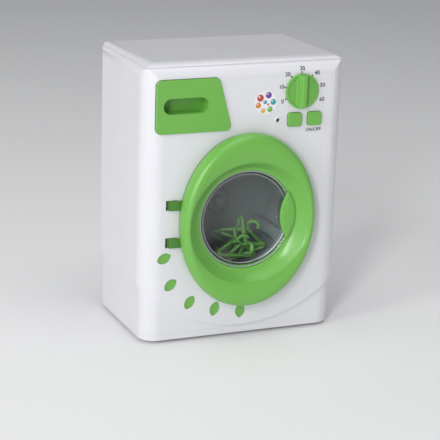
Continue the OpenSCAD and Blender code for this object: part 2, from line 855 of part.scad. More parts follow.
// Cross-sections of the door ring: [middle height, half width, half height, proud]
out_a = door_w / 2;
out_b = door_h / 2;
dish_a = out_a - 7.5;
dish_b = window_r + 9.3;
dish_z = -0.8;
lip_p = plate_front + 1.2;
ring_rows = [
    [0, out_a - 1.2, out_b - 1.2, plate_front],
    [0, out_a, out_b, plate_front + 2.4],
    [0, out_a - 0.1, out_b - 0.1, door_proud - 8],
    [0, out_a - 0.8, out_b - 0.9, door_proud - 4.8],
    [0, out_a - 2, out_b - 2.4, door_proud - 2.2],
    [0, out_a - 3.6, out_b - 5, door_proud - 0.6],
    [0, out_a - 5.2, out_b - 9, door_proud],
    [dish_z * 0.6, dish_a + 1.3, (out_b + dish_b) / 2 - 4, door_proud - 0.4],
    [dish_z, dish_a + 0.7, dish_b + 1.3, door_proud - 1.3],
    [dish_z, dish_a, dish_b, door_proud - 2.2],
    [dish_z * 0.6, dish_a - 5, dish_b - 3.9, door_proud - 6.8],
    [0, window_r + 3, window_r + 3, door_proud - 9.4],
    [0, window_r + 0.9, window_r + 0.9, door_proud - 10.2],
    [0, window_r + 0.2, window_r + 0.2, door_proud - 10.6],
    [0, window_r + 0.2, window_r + 0.2, lip_p],
    [0, window_r + 2.6, window_r + 2.6, lip_p],
    [dish_z * 0.6, dish_a - 3.4, dish_b - 2.3, door_proud - 8.4],
    [dish_z, dish_a + 1.4, dish_b + 2.1, door_proud - 3.8],
    [0, out_a - 5.4, out_b - 10, door_proud - skin],
    [0, out_a - 4.2, out_b - 5, door_proud - 4.4],
    [0, out_a - skin, out_b - skin, door_proud - 8.5],
    [0, out_a - skin - 1.2, out_b - skin - 1.2, plate_front]
];

// Closed loft round a list of oval sections
module oval_loft(rows, n) {
    count = len(rows);
    points = [for (r = rows, p = oval(r[1], r[2], n)) [p[0], y_front - r[3], door_z + r[0] + p[1]]];
    faces = [for (k = [0 : count - 1], i = [0 : n - 1])
        let (k2 = (k + 1) % count, j = (i + 1) % n)
        each [[k * n + i, k2 * n + i, k2 * n + j], [k * n + i, k2 * n + j, k * n + j]]];
    polyhedron(points = points, faces = faces, convexity = 6);
}

boss_angles = [40, 140, 220, 320];
function boss_at(a) = [(out_a - 7.6) * cos(a), door_z - 0.5 + (out_b - 11) * sin(a)];

module grip_outline(grow)
    translate([grip_x, door_z + 1.2]) rotate(90) lens(grip_len + 2 * grow, grip_w + 2 * grow);

module door_ring()
    color(green) difference() {
        union() {
            oval_loft(ring_rows, 60);
            for (a = boss_angles) bar(boss_at(a), 2.6, -door_proud + 1, -plate_front);
        }
        slab(-door_proud - 1, -grip_back) grip_outline(0.05);
        for (a = boss_angles) bar(boss_at(a), 1.03, -plate_front - 7, -plate_front + 1);
    }

module door_inner_ring()
    color(green) difference() {
        union() {
            slab(-plate_front, -door_gap) difference() {
                translate([0, door_z]) polygon(oval(out_a - plate_inset, out_b - plate_inset));
                translate([0, door_z]) circle(window_r - 1);
            }
            // Two hinge arms, each with its knuckle
            at_hinges() translate([0, 0, -knuckle_w / 2]) {
                translate([hinge_x, y_front + hinge_d, 0]) cylinder(r = knuckle_r, h = knuckle_w);
                translate([hinge_x - 2.4, y_front - plate_front, 0])
                    cube([5.3, hinge_d + plate_front, knuckle_w]);
                translate([hinge_x - 2.4, y_front - plate_front, 0])
                    cube([14, plate_t, knuckle_w]);
            }
            // Latch tongue
            translate([latch_x, y_front - plate_front, door_z - latch_w / 2])
                cube([latch_t, latch_reach + plate_front, latch_w]);
            translate([latch_x + latch_t - 0.4, y_front + latch_reach - 1.4,
                door_z - latch_w / 2])
                cylinder(r = 1.2, h = latch_w);
        }
        at_hinges() translate([hinge_x, y_front + hinge_d, -knuckle_w])
            cylinder(r = pin_r + run_fit, h = 2 * knuckle_w);
        for (a = boss_angles) {
            bar(boss_at(a), 1.2, -plate_front - 1, 0);
            bar(boss_at(a), 2.4, -door_gap - 1, 0);
        }
    }

bowl_r = (window_r * window_r + bowl_depth * bowl_depth) / (2 * bowl_depth);
function bowl_row(r, drop) = [r, -lip_p + bowl_depth - bowl_r + sqrt(bowl_r * bowl_r - r * r) + drop];

module door_window()
    color("lightcyan", 0.4) turned([0, door_z], [
        for (k = [0 : 12]) bowl_row((window_r - 0.3) * k / 12, 0),
        [window_r - 0.3, -lip_p + eps], [window_r + 2.2, -lip_p + eps],
        [window_r + 2.2, -plate_front], [window_r - 2, -plate_front],
        for (k = [12 : -1 : 0]) bowl_row((window_r - 2) * k / 12, window_t)]);

// The grip's lens reaches from the window, which sinks away behind it, onto the ring
grip_x = window_r + 1.7 - grip_w / 2;
grip_back = door_proud - 10.5;
grip_t = 2.1;

module door_grip()
    color(green) slab(-grip_back - grip_t, -grip_back) grip_outline(0);

module door_screws()
    color(metal) for (a = boss_angles)
        screw(boss_at(a), -door_gap - 1, 7, 1, 2.2, 0.9);

module hinge_pins()
    color(metal) at_hinges() translate([hinge_x, y_front + hinge_d, -block_w / 2 + 0.6])
        cylinder(r = pin_r, h = block_w - 1.2);

module latch_keeper()
    color(metal) {
        translate([latch_x + latch_t + 1.2, y_front + wall, door_z - latch_w / 2])
            cube([0.8, latch_reach + 1, latch_w]);
        translate([latch_x + latch_t + 1.2, y_front + wall, door_z - latch_w / 2])
            cube([7, 0.8, latch_w]);
    }

// ---- Drawer ----

module finger_slot(grow)
    soft_box([slot_x - slot_len / 2 - grow, slot_z - slot_h / 2 - grow],
        [slot_x + slot_len / 2 + grow, slot_z + slot_h / 2 + grow], slot_h / 2 + grow - eps);

module drawer_front()
    color(green) difference() {
        union() {
            slab(-drawer_proud, tray_front) drawer_outline(-slide_fit);
            slab(tray_front - 1, slot_depth) finger_slot(cup_t);
        }
        slab(-drawer_proud - 1, slot_depth - cup_t) finger_slot(0);
        for (x = drawer_screw_x) bar([x, drawer_screw_z], 1.03, -0.6, tray_front + 1);
    }

drawer_screw_x = [tray_left + 5, tray_right - 5];
drawer_screw_z = tray_bottom + 5.5;
tab_d = flange_back + drawer_travel + 0.3;

module drawer_tray()
    color(white) difference() {
        union() {
            slab(tray_front, tray_front + tray_len)
                translate([tray_left, tray_bottom])
                    square([tray_right - tray_left, tray_top - tray_bottom]);
            translate([tab_x[0], y_front + tab_d, tray_top - 1])
                cube([tab_x[1] - tab_x[0], tray_front + tray_len - tab_d, tab_h + 1]);
        }
        slab(tray_front + tray_wall, tray_front + tray_len - tray_wall)
            translate([tray_left + tray_wall, tray_bottom + tray_wall])
                square([tray_right - tray_left - 2 * tray_wall, tray_top - tray_bottom]);
        slab(tray_front - 1, tray_front + tray_wall + 1) finger_slot(cup_t + 0.2);
        for (x = drawer_screw_x) bar([x, drawer_screw_z], 1.2, 0, tray_front + tray_wall + 1);
    }

module drawer_screws()
    color(metal) for (x = drawer_screw_x)
        screw([x, drawer_screw_z], tray_front + tray_wall, 4, 1, 2.1, 1.2);

module drawer_guide()
    color(white) difference() {
        intersection() {
            union() {
                slab(wall, flange_back) drawer_outline(3);
                slab(wall, split_d - 2)
                    translate([tray_left - slide_fit - guide_wall, tray_bottom - slide_fit - guide_wall])
                        square([tray_right - tray_left + 2 * (slide_fit + guide_wall),
                            tray_top - tray_bottom + 2 * (slide_fit + guide_wall) + tab_h]);
            }
            envelope(wall + 0.1);
        }
        slab(0, split_d)
            translate([tray_left - slide_fit, tray_bottom - slide_fit])
                square([tray_right - tray_left + 2 * slide_fit, tray_top - tray_bottom + 2 * slide_fit]);
        slab(flange_back, split_d)
            translate([tab_x[0] - slide_fit, tray_top])
                square([tab_x[1] - tab_x[0] + 2 * slide_fit, tab_h + slide_fit]);
    }

// ---- Knob, buttons and board ----

knob_r = knob_d / 2;
knob_disc = 2;
knob_bar_base = knob_bar_w + 4.4;
knob_bore_d = -knob_gap - knob_disc - 0.8;

// Grip bar with sloping flanks and ends, which stands on the knob's disc
module knob_bar() {
    foot = -knob_gap - knob_disc + eps;
    crest = -knob_gap - knob_h;
    intersection() {
        bar([knob_x, knob_z], knob_r - 0.6, crest, foot);
        translate([knob_x, y_front, knob_z - knob_r]) linear_extrude(knob_d)
            polygon([[-knob_bar_base / 2, foot], [-knob_bar_w / 2, crest],
                [knob_bar_w / 2, crest], [knob_bar_base / 2, foot]]);
        translate([knob_x - knob_r, y_front, knob_z]) rotate([90, 0, 90]) linear_extrude(knob_d)
            polygon([[foot, -knob_r], [crest, 2.2 - knob_r], [crest, knob_r - 2.2], [foot, knob_r]]);
    }
}

module knob()
    color(green) difference() {
        union() {
            bar([knob_x, knob_z], knob_r, -knob_gap - knob_disc, -knob_gap);
            knob_bar();
        }
        bar([knob_x, knob_z], shaft_r, knob_bore_d, 1);
    }

module knob_shaft()
    color(metal) bar([knob_x, knob_z], shaft_r, knob_bore_d, board_d - 1);

module rotary_switch()
    color("darkslategray") difference() {
        slab(board_d - dial_switch_t, board_d)
            translate([knob_x, knob_z]) square(dial_switch_w, center = true);
        bar([knob_x, knob_z], shaft_r + run_fit, board_d - dial_switch_t - 1, board_d - 0.5);
    }

module button(x)
    color(green) translate([x, 0, button_z]) {
        slab(-2.6, wall + 0.3 + eps) button_outline(0);
        slab(wall + 0.3, wall + 1.6) button_outline(1.4);
        slab(wall + 1.6 - eps, board_d - switch_t + 0.6) circle(2);
    }

module button_left() button(button_x[0]);

module button_right() button(button_x[1]);

module button_switches()
    color("darkslategray") for (x = button_x) difference() {
        slab(board_d - switch_t, board_d)
            translate([x, button_z]) square(switch_w, center = true);
        bar([x, button_z], 2.1, board_d - switch_t - 1, board_d - 1.5);
    }

module indicator_lamp()
    color("dimgray") {
        turned([lamp_x, button_z], [[0, 0.3], [lamp_r * 0.7, 0.6], [lamp_r, 1.6],
            [lamp_r, board_d - 3], [lamp_r + 0.4, board_d - 3], [lamp_r + 0.4, board_d],
            [0, board_d]]);
    }

module control_board()
    color("seagreen") difference() {
        slab(board_d, board_d + board_t)
            translate([board_left, board_low])
                square([board_right - board_left, board_high - board_low]);
        for (p = board_posts) bar(p, board_screw_r + 0.2, board_d - 1, board_d + 3);
    }

module board_screws()
    color(metal) for (p = board_posts)
        screw(p, board_d + board_t, board_screw_len, board_screw_r, 2.2, 1.2);

// ---- Power ----

module battery_box()
    color("dimgray") difference() {
        union() {
            slab(box_front - box_t, back_in) cell_opening(box_t);
        }
        difference() {
            slab(box_front, back_in + 1) cell_opening(0);
            bar(cover_screw_at, 3.5, box_front - 1, back_in - 0.2);
        }
        bar(cover_screw_at, 1.23, back_in - 12, back_in + 1);
    }

cover_screw_at = [0, box_bottom + box_t + box_h - 4.5];

module battery_cells()
    color("darkorange") for (i = [0 : cell_count - 1])
        translate([0, y_front + cell_d, cell_z(i)]) rotate([0, i % 2 == 0 ? 90 : -90, 0]) {
            translate([0, 0, -cell_len / 2]) cylinder(r = cell_r, h = cell_len - 1);
            translate([0, 0, cell_len / 2 - 1 - eps]) cylinder(r = 2.6, h = 1 + eps);
        }

function cell_z(i) = box_bottom + box_t + 0.45 + cell_pitch * (i + 0.5);

module battery_contacts()
    color(metal) for (i = [0 : cell_count - 1], s = [-1, 1])
        translate([0, y_front + cell_d, cell_z(i)]) rotate([0, s * 90, 0]) {
            translate([-5, -5, cells_x - 0.5]) cube([10, 10, 0.5]);
            translate([0, 0, cell_len / 2 + 0.1]) cylinder(r = 2.2, h = cells_x - cell_len / 2 - 0.4);
        }

module battery_cover()
    color(white) difference() {
        slab(back_in, back_d - 0.2) cell_opening(-0.3);
        bar(cover_screw_at, 1.4, back_in - 1, back_d);
        bar(cover_screw_at, 2.9, back_d - 1.4, back_d + 1);
    }

module battery_cover_screw()
    color(metal) screw(cover_screw_at, back_d - 1.4, 9, 1.2, 2.7, 1.2);

// Tube of eight sides swept along a route of [x, depth, z] points
module lead(route) {
    n = len(route);
    places = [for (p = route) [p[0], y_front + p[1], p[2]]];
    headings = [for (i = [0 : n - 1]) heading(places, i)];
    sides = carried(headings, [square_to([1, 0.3, 0.2], headings[0])]);
    points = [for (i = [0 : n - 1], k = [0 : 7])
        places[i] + lead_r * (cos(45 * k) * sides[i] + sin(45 * k) * cross(headings[i], sides[i]))];
    polyhedron(points = points, faces = concat(
        [[for (k = [0 : 7]) k]],
        [for (i = [0 : n - 2], k = [0 : 7])
            let (a = 8 * i, b = a + 8, j = (k + 1) % 8)
            each [[a + j, a + k, b + k], [a + j, b + k, b + j]]],
        [[for (k = [7 : -1 : 0]) 8 * (n - 1) + k]]));
}

function unit(v) = v / norm(v);

// Part of v that is square to a heading
function square_to(v, heading) = unit(v - (v * heading) * heading);

// Side directions carried along the headings without a twist
function carried(headings, sides) = len(sides) == len(headings) ? sides
    : carried(headings, concat(sides, [square_to(sides[len(sides) - 1], headings[len(sides)])]));

function heading(p, i) = unit((i == 0 ? [0, 0, 0] : unit(p[i] - p[i - 1]))
    + (i == len(p) - 1 ? [0, 0, 0] : unit(p[i + 1] - p[i])));

// Battery, motor and lamp leads, each ending on the back of the control board
module wiring()
    color("firebrick") {
        lead(battery_route);
        lead(motor_route);
        lead(lamp_route);
    }

module case_screws()
    color(metal) for (p = case_posts)
        screw(p, case_seat_d, case_screw_len, screw_r, screw_head_r, screw_head_h);

// ---- Nodes ----

front_shell();
rear_shell();
top_cover();
base_tray();
feet();
vent_insert();
badge();
porthole_collar();
drum_lamp();
drum_frame();
frame_screws();
drum_bush();
gear_cover();
gear_cover_screws();
gear_axle();
motor_can();
motor_end_cap();
motor_strap();
battery_box();
battery_cells();
battery_contacts();
battery_cover();
battery_cover_screw();
control_board();
board_screws();
rotary_switch();
button_switches();
indicator_lamp();
drawer_guide();
case_screws();
hinge_pins();
latch_keeper();
wiring();
door_ring();
door_inner_ring();
door_window();
door_grip();
door_screws();
drawer_front();
drawer_tray();
drawer_screws();
knob();
knob_shaft();
button_left();
button_right();
drum_shell();
drum_front_ring();
drum_lifters();
drum_shaft();
drum_gear();
drum_nut();
hangers();
reduction_gear();
motor_pinion();
motor_shaft();
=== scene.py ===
"""Looks of the toy washing machine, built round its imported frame."""
import json
import math

import bmesh
import bpy
from mathutils import Matrix, Vector


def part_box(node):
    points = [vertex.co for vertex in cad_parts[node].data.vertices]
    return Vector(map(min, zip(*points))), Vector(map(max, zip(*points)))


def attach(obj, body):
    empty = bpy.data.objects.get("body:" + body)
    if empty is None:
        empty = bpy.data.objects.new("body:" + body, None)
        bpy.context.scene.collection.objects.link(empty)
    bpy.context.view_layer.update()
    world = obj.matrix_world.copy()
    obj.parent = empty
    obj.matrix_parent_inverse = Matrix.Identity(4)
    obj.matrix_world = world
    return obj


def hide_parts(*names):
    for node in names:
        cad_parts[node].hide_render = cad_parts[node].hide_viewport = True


bl_info = {
    "name": "Toy Washing Machine",
    "version": (1, 0, 0),
    "blender": (4, 5, 0),
    "location": "View3D > Sidebar > Toy Washer",
    "description": "Adds the finished pieces of a toy washing machine round its frame",
    "category": "Add Mesh",
}

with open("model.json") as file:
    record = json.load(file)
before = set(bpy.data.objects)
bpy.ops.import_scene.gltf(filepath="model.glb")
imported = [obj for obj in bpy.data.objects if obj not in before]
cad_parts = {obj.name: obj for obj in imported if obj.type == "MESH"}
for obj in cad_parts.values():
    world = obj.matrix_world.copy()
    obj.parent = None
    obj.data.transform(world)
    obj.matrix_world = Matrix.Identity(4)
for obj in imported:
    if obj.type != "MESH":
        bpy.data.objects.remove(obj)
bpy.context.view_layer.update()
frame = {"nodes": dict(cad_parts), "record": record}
MM = 0.001


def low(node):
    """Lowest corner of a frame node, in metres."""
    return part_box(node)[0]


def high(node):
    """Highest corner of a frame node, in metres."""
    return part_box(node)[1]


def middle(node):
    """Middle of a frame node's box, in metres."""
    return (low(node) + high(node)) / 2


# The plane of the casing's flat front, and the middles of the round things on it
FACE_Y = high("badge").y
DOOR = middle("door_window")
KNOB = middle("knob")
BADGE = middle("badge")


# ---- Sizes and colours a user would change ----

class WasherSizes(bpy.types.PropertyGroup):
    """Sizes of the finished pieces."""

    edge: bpy.props.FloatProperty(
        name="Moulded edge", description="Radius of the casing's moulded edges",
        default=0.5 * MM, min=0.1 * MM, max=1.0 * MM, subtype="DISTANCE", unit="LENGTH")
    button_slope: bpy.props.FloatProperty(
        name="Button slope", description="Width of the slope round the face of a button",
        default=2.0 * MM, min=0.3 * MM, max=2.3 * MM, subtype="DISTANCE", unit="LENGTH")
    door_segments: bpy.props.IntProperty(
        name="Door segments", description="Segments round the oval door",
        default=160, min=48, max=256)
    numeral: bpy.props.FloatProperty(
        name="Numeral size", description="Type size of the numerals round the knob",
        default=4.7 * MM, min=2.0 * MM, max=6.0 * MM, subtype="DISTANCE", unit="LENGTH")
    lettering: bpy.props.FloatProperty(
        name="Lettering size", description="Type size of the words under the buttons",
        default=3.9 * MM, min=2.0 * MM, max=6.0 * MM, subtype="DISTANCE", unit="LENGTH")


class WasherColours(bpy.types.PropertyGroup):
    """Colours of the finished pieces."""

    white: bpy.props.FloatVectorProperty(
        name="White plastic", description="Colour of the casing",
        default=(0.74, 0.74, 0.775), min=0.0, max=1.0, subtype="COLOR")
    green: bpy.props.FloatVectorProperty(
        name="Green plastic", description="Colour of the door, drawer and controls",
        default=(0.155, 0.445, 0.068), min=0.0, max=1.0, subtype="COLOR")
    ink: bpy.props.FloatVectorProperty(
        name="Ink", description="Colour of the printed marks",
        default=(0.035, 0.035, 0.045), min=0.0, max=1.0, subtype="COLOR")
    floor: bpy.props.FloatVectorProperty(
        name="Floor", description="Colour of the studio floor",
        default=(0.90, 0.90, 0.90), min=0.0, max=1.0, subtype="COLOR")


def sizes():
    """The sizes that the user has set."""
    return bpy.context.scene.washer_sizes


def colours():
    """The colours that the user has set."""
    return bpy.context.scene.washer_colours


# ---- Materials ----

class Socket:
    """A shader value. Arithmetic on it adds Math nodes."""

    def __init__(self, paint, link):
        self.paint = paint
        self.link = link

    def math(self, operation, *values):
        """Adds a Math node."""
        return self.paint.node("ShaderNodeMath", {"operation": operation},
                               dict(enumerate(values)))

    def __add__(self, other):
        return self.math("ADD", self, other)

    def __radd__(self, other):
        return self.math("ADD", other, self)

    def __sub__(self, other):
        return self.math("SUBTRACT", self, other)

    def __rsub__(self, other):
        return self.math("SUBTRACT", other, self)

    def __mul__(self, other):
        return self.math("MULTIPLY", self, other)

    def __rmul__(self, other):
        return self.math("MULTIPLY", other, self)

    def __pow__(self, other):
        return self.math("POWER", self, other)

    def __rpow__(self, other):
        return self.math("POWER", other, self)


class Paint:
    """One procedural material on a Principled shader."""

    def __init__(self, name, **constants):
        self.material = bpy.data.materials.new(name)
        self.material.use_nodes = True
        self.tree = self.material.node_tree
        self.tree.nodes.clear()
        self.shader = self.tree.nodes.new("ShaderNodeBsdfPrincipled")
        self.output = self.tree.nodes.new("ShaderNodeOutputMaterial")
        self.tree.links.new(self.shader.outputs[0], self.output.inputs[0])
        for socket, value in constants.items():
            self.set(socket.replace("_", " ").title().replace("Ior", "IOR"), value)

    def set(self, socket, value):
        """Sets or links a socket of the Principled shader."""
        self.put(self.shader.inputs[socket], value)

    def put(self, entry, value):
        """Sets or links an input. A colour of three parts becomes fully opaque."""
        if isinstance(value, Socket):
            self.tree.links.new(value.link, entry)
        elif isinstance(value, (int, float)):
            entry.default_value = value
        else:
            spare = len(entry.default_value) - len(value)
            entry.default_value = tuple(value) + (1.0,) * spare

    def node(self, kind, settings, inputs, output=0):
        """Adds a node: its settings first, then its inputs by place or by name."""
        made = self.tree.nodes.new(kind)
        for key, value in settings.items():
            setattr(made, key, value)
        for key, value in inputs.items():
            self.put(made.inputs[key], value)
        return Socket(self, made.outputs[output])

    def place(self):
        """Where a point is on the object, in metres."""
        return self.node("ShaderNodeTexCoord", {}, {}, output="Object")

    def noise(self, scale, detail, roughness=0.5, stretch=None):
        """Soft random patches, finer with scale, which stretch squeezes along an axis."""
        where = self.place()
        if stretch:
            where = self.node("ShaderNodeMapping", {}, {"Vector": where, "Scale": stretch})
        return self.node("ShaderNodeTexNoise", {}, {
            "Vector": where, "Scale": scale, "Detail": detail, "Roughness": roughness})

    def band(self, value, start, end):
        """0 at start, 1 at end, and smooth between them."""
        return self.node("ShaderNodeMapRange", {"interpolation_type": "SMOOTHSTEP"}, {
            "Value": value, "From Min": start, "From Max": end, "To Min": 0.0, "To Max": 1.0})

    def mix(self, factor, first, second):
        """Blends two colours. The node's factor is input 0, and its colours are 6 and 7."""
        return self.node("ShaderNodeMix", {"data_type": "RGBA"},
                         {0: factor, 6: first, 7: second}, output=2)

    def mottle(self, patches, colour, dark, light):
        """Lets the base colour stray between two shares of itself."""
        self.set("Base Color", self.mix(patches, shade(colour, dark), shade(colour, light)))

    def bump(self, height, strength, distance):
        """Raises the surface by a height, where 1 is a distance in metres."""
        self.set("Normal", self.node("ShaderNodeBump", {}, {
            "Strength": strength, "Distance": distance, "Height": height}))

    def pass_lamps(self, tint):
        """Lets lamp light straight through the shader, tinted."""
        clear = self.node("ShaderNodeBsdfTransparent", {}, {"Color": tint})
        lamp_ray = self.node("ShaderNodeLightPath", {}, {}, output="Is Shadow Ray")
        own = Socket(self, self.shader.outputs[0])
        both = self.node("ShaderNodeMixShader", {}, {0: lamp_ray, 1: own, 2: clear})
        self.tree.links.new(both.link, self.output.inputs[0])


def shade(colour, factor):
    """A colour made lighter or darker, and no brighter than white."""
    return tuple(min(1.0, part * factor) for part in colour)


def moulded_plastic(name, colour, gloss, **constants):
    """Injection-moulded plastic: faint flow clouds, fine grain and a few handling marks."""
    paint = Paint(name, **constants)
    clouds = paint.noise(scale=22.0, detail=3.0, roughness=0.55)
    paint.mottle(clouds, colour, dark=0.965, light=1.03)
    marks = paint.noise(scale=60.0, detail=4.0, roughness=0.6, stretch=(1.0, 1.0, 6.0))
    scuffs = paint.band(marks, start=0.62, end=0.78)
    paint.set("Roughness", gloss + 0.05 * clouds + 0.12 * scuffs)
    grain = paint.noise(scale=1400.0, detail=2.0)
    waves = paint.noise(scale=90.0, detail=2.0)
    paint.bump(grain * 0.3 + waves, strength=0.35, distance=0.06 * MM)
    return paint.material


def brushed_metal(name, colour, roughness):
    """Plated steel with fine turning marks."""
    paint = Paint(name, metallic=1.0)
    marks = paint.noise(scale=500.0, detail=4.0, roughness=0.6, stretch=(1.0, 0.08, 1.0))
    paint.mottle(marks, colour, dark=0.88, light=1.06)
    paint.set("Roughness", roughness + 0.18 * marks)
    paint.bump(marks, strength=0.2, distance=0.02 * MM)
    return paint.material


def matt_finish(name, colour, roughness, grain_scale, depth):
    """Matt surface with an even grain, for rubber, board and sleeves."""
    paint = Paint(name)
    clouds = paint.noise(scale=35.0, detail=3.0)
    paint.mottle(clouds, colour, dark=0.85, light=1.12)
    grain = paint.noise(scale=grain_scale, detail=3.0, roughness=0.6)
    paint.set("Roughness", roughness + 0.08 * grain)
    paint.bump(grain, strength=0.4, distance=depth)
    return paint.material


def clear_moulding(name, tint):
    """Clear polished plastic with faint wipe marks, which lets the lamps light what is behind."""
    paint = Paint(name, transmission_weight=1.0, ior=1.46)
    paint.set("Base Color", tint)
    wipes = paint.noise(scale=45.0, detail=3.0, stretch=(1.0, 1.0, 3.0))
    paint.set("Roughness", 0.015 + 0.05 * paint.band(wipes, start=0.5, end=0.8))
    paint.pass_lamps(tint)
    return paint.material


def printed_ink(name, colour):
    """Printed mark with slightly uneven cover."""
    paint = Paint(name)
    cover = paint.noise(scale=900.0, detail=2.0)
    paint.mottle(cover, colour, dark=0.8, light=1.5)
    paint.set("Roughness", 0.42 + 0.1 * cover)
    return paint.material


# Each bubble's middle, to the right of and above the label's, its radius in mm and its colour
BUBBLES = (
    (-5.0, 4.2, 3.0, (0.52, 0.06, 0.06)),
    (2.4, 6.3, 2.7, (0.14, 0.05, 0.32)),
    (6.7, 0.4, 2.5, (0.03, 0.33, 0.40)),
    (3.9, -5.6, 2.4, (0.18, 0.42, 0.05)),
    (-2.3, -6.6, 2.1, (0.66, 0.42, 0.05)),
    (-6.7, -1.9, 2.4, (0.66, 0.22, 0.04)),
    (-0.6, 0.6, 1.7, (0.03, 0.33, 0.40)),
    (2.2, -1.4, 1.0, (0.52, 0.06, 0.06)),
)
# How far a bubble's edge is soft to each side, in millimetres
BUBBLE_BLUR = 0.12
# The glint on a bubble, in shares of its radius: its way up and to the left, and where its
# soft edge starts and ends
GLINT_SHIFT = 0.35
GLINT_OUTER = 0.34
GLINT_INNER = 0.22
GLINT_STRENGTH = 0.75
GLINT_COLOUR = (0.9, 0.9, 0.92)


def bubble_label(name):
    """Glossy round label with a loose group of plain coloured bubbles."""
    paint = Paint(name, coat_weight=0.5, coat_roughness=0.1)
    across = paint.node("ShaderNodeSeparateXYZ", {}, {0: paint.place()}, output="X")
    up = Socket(paint, across.link.node.outputs["Z"])
    fibre = paint.noise(scale=700.0, detail=2.0)
    colour = paint.mix(fibre, (0.80, 0.80, 0.82), (0.86, 0.86, 0.88))
    for x, z, radius, tint in BUBBLES:
        dx = across - (BADGE.x + x * MM)
        dz = up - (BADGE.z + z * MM)
        reach = (dx * dx + dz * dz) ** 0.5
        disc = paint.band(reach, (radius + BUBBLE_BLUR) * MM, (radius - BUBBLE_BLUR) * MM)
        colour = paint.mix(disc, colour, tint)
        shift = radius * GLINT_SHIFT * MM
        shine = ((dx + shift) ** 2.0 + (dz - shift) ** 2.0) ** 0.5
        glint = paint.band(shine, radius * GLINT_OUTER * MM, radius * GLINT_INNER * MM)
        colour = paint.mix(glint * GLINT_STRENGTH, colour, GLINT_COLOUR)
    paint.set("Base Color", colour)
    paint.set("Roughness", 0.25 + 0.08 * fibre)
    return paint.material


def make_materials():
    """All finishes by name."""
    white = tuple(colours().white)
    green = tuple(colours().green)
    return {
        "white": moulded_plastic("white_plastic", white, 0.26, coat_weight=0.25,
                                 coat_roughness=0.12),
        # Dark grey drum: painted shade standing for the shaded inside of the drum
        "drum_painted_shade": moulded_plastic("drum_painted_shade_plastic", (0.125, 0.150, 0.148), 0.40),
        "green": moulded_plastic("green_plastic", green, 0.34, coat_weight=0.3,
                                 coat_roughness=0.16),
        # Half as bright a copy of the green: painted shade, on the door's inner ring for the dark
        # shadow line round the door, and on the hangers lying in the drum's shade
        "green_painted_shade": moulded_plastic("green_painted_shade_plastic", shade(green, 0.5), 0.36),
        "grey": moulded_plastic("grey_plastic", (0.30, 0.31, 0.33), 0.45),
        "black": moulded_plastic("black_plastic", (0.03, 0.03, 0.034), 0.4),
        "gear": moulded_plastic("gear_plastic", (0.72, 0.68, 0.58), 0.42),
        # Pale, partly see-through plastic for the two hoops on the window: painted highlight
        # lines round its rim and its step
        "pale_painted_highlight": moulded_plastic("pale_painted_highlight_rim", (0.60, 0.64, 0.65), 0.22, alpha=0.62,
                                   coat_weight=0.5, coat_roughness=0.08),
        "clear": clear_moulding("clear_plastic", (0.93, 0.96, 0.96)),
        "lamp": moulded_plastic("lamp_lens", (0.75, 0.72, 0.60), 0.12),
        "dark_lamp": moulded_plastic("dark_lamp_lens", (0.035, 0.012, 0.014), 0.12,
                                     coat_weight=0.8, coat_roughness=0.05),
        "steel": brushed_metal("plated_steel", (0.62, 0.62, 0.63), 0.28),
        "bronze": brushed_metal("sintered_bronze", (0.50, 0.33, 0.16), 0.45),
        "rubber": matt_finish("foot_rubber", (0.10, 0.10, 0.105), 0.72, 1500.0, 0.05 * MM),
        "board": matt_finish("circuit_board", (0.02, 0.16, 0.06), 0.42, 900.0, 0.02 * MM),
        "cell": matt_finish("cell_sleeve", (0.60, 0.22, 0.03), 0.34, 500.0, 0.01 * MM),
        "lead": matt_finish("lead_sleeve", (0.42, 0.03, 0.025), 0.5, 800.0, 0.02 * MM),
        "ink": printed_ink("printed_ink", tuple(colours().ink)),
        "label": bubble_label("label_print"),
    }


# The materials by finish, once they are made
FINISHES = {}
NODE_FINISH = {
    "white": ("front_shell", "rear_shell", "top_cover", "base_tray", "porthole_collar",
              "battery_cover", "drawer_guide", "drawer_tray"),
    # The drum's pieces take the dark grey as painted shade
    "drum_painted_shade": ("drum_shell", "drum_front_ring", "drum_lifters", "drum_nut"),
    "green": ("vent_insert", "door_ring", "door_grip", "drawer_front", "knob",
              "button_left", "button_right"),
    # The door's inner ring and the hangers take the darker green as painted shade
    "green_painted_shade": ("door_inner_ring", "hangers"),
    "clear": ("door_window",),
    "grey": ("drum_frame", "gear_cover", "motor_strap"),
    "black": ("motor_end_cap", "battery_box", "rotary_switch", "button_switches"),
    "rubber": ("feet",),
    "label": ("badge",),
    "lamp": ("drum_lamp",),
    "dark_lamp": ("indicator_lamp",),
    "bronze": ("drum_bush",),
    "steel": ("frame_screws", "gear_cover_screws", "gear_axle", "motor_can",
              "battery_contacts", "battery_cover_screw", "board_screws", "case_screws",
              "hinge_pins", "latch_keeper", "door_screws", "drawer_screws", "knob_shaft",
              "drum_shaft", "motor_shaft"),
    "cell": ("battery_cells",),
    "board": ("control_board",),
    "gear": ("drum_gear", "reduction_gear", "motor_pinion"),
    "lead": ("wiring",),
}


# ---- Mesh helpers ----

# Points closer than this are one: in a copied mesh or lettering, and in a mesh made here
MERGE = 0.002 * MM
FINE_MERGE = 0.001 * MM
# A point this close to a plane lies on it
ON_PLANE = 0.01 * MM
# Neighbouring faces that turn less than this are one flat face
FLAT = math.radians(0.4)


def body_of_node(node):
    """The body that a frame node belongs to."""
    for body, nodes in frame["record"]["behaviour"]["bodies"].items():
        if node in nodes:
            return body
    raise ValueError(f"{node} is in no body")


def finish_of_node(node):
    """The finish that a frame node has."""
    for finish, nodes in NODE_FINISH.items():
        if node in nodes:
            return finish
    raise ValueError(f"{node} has no finish")


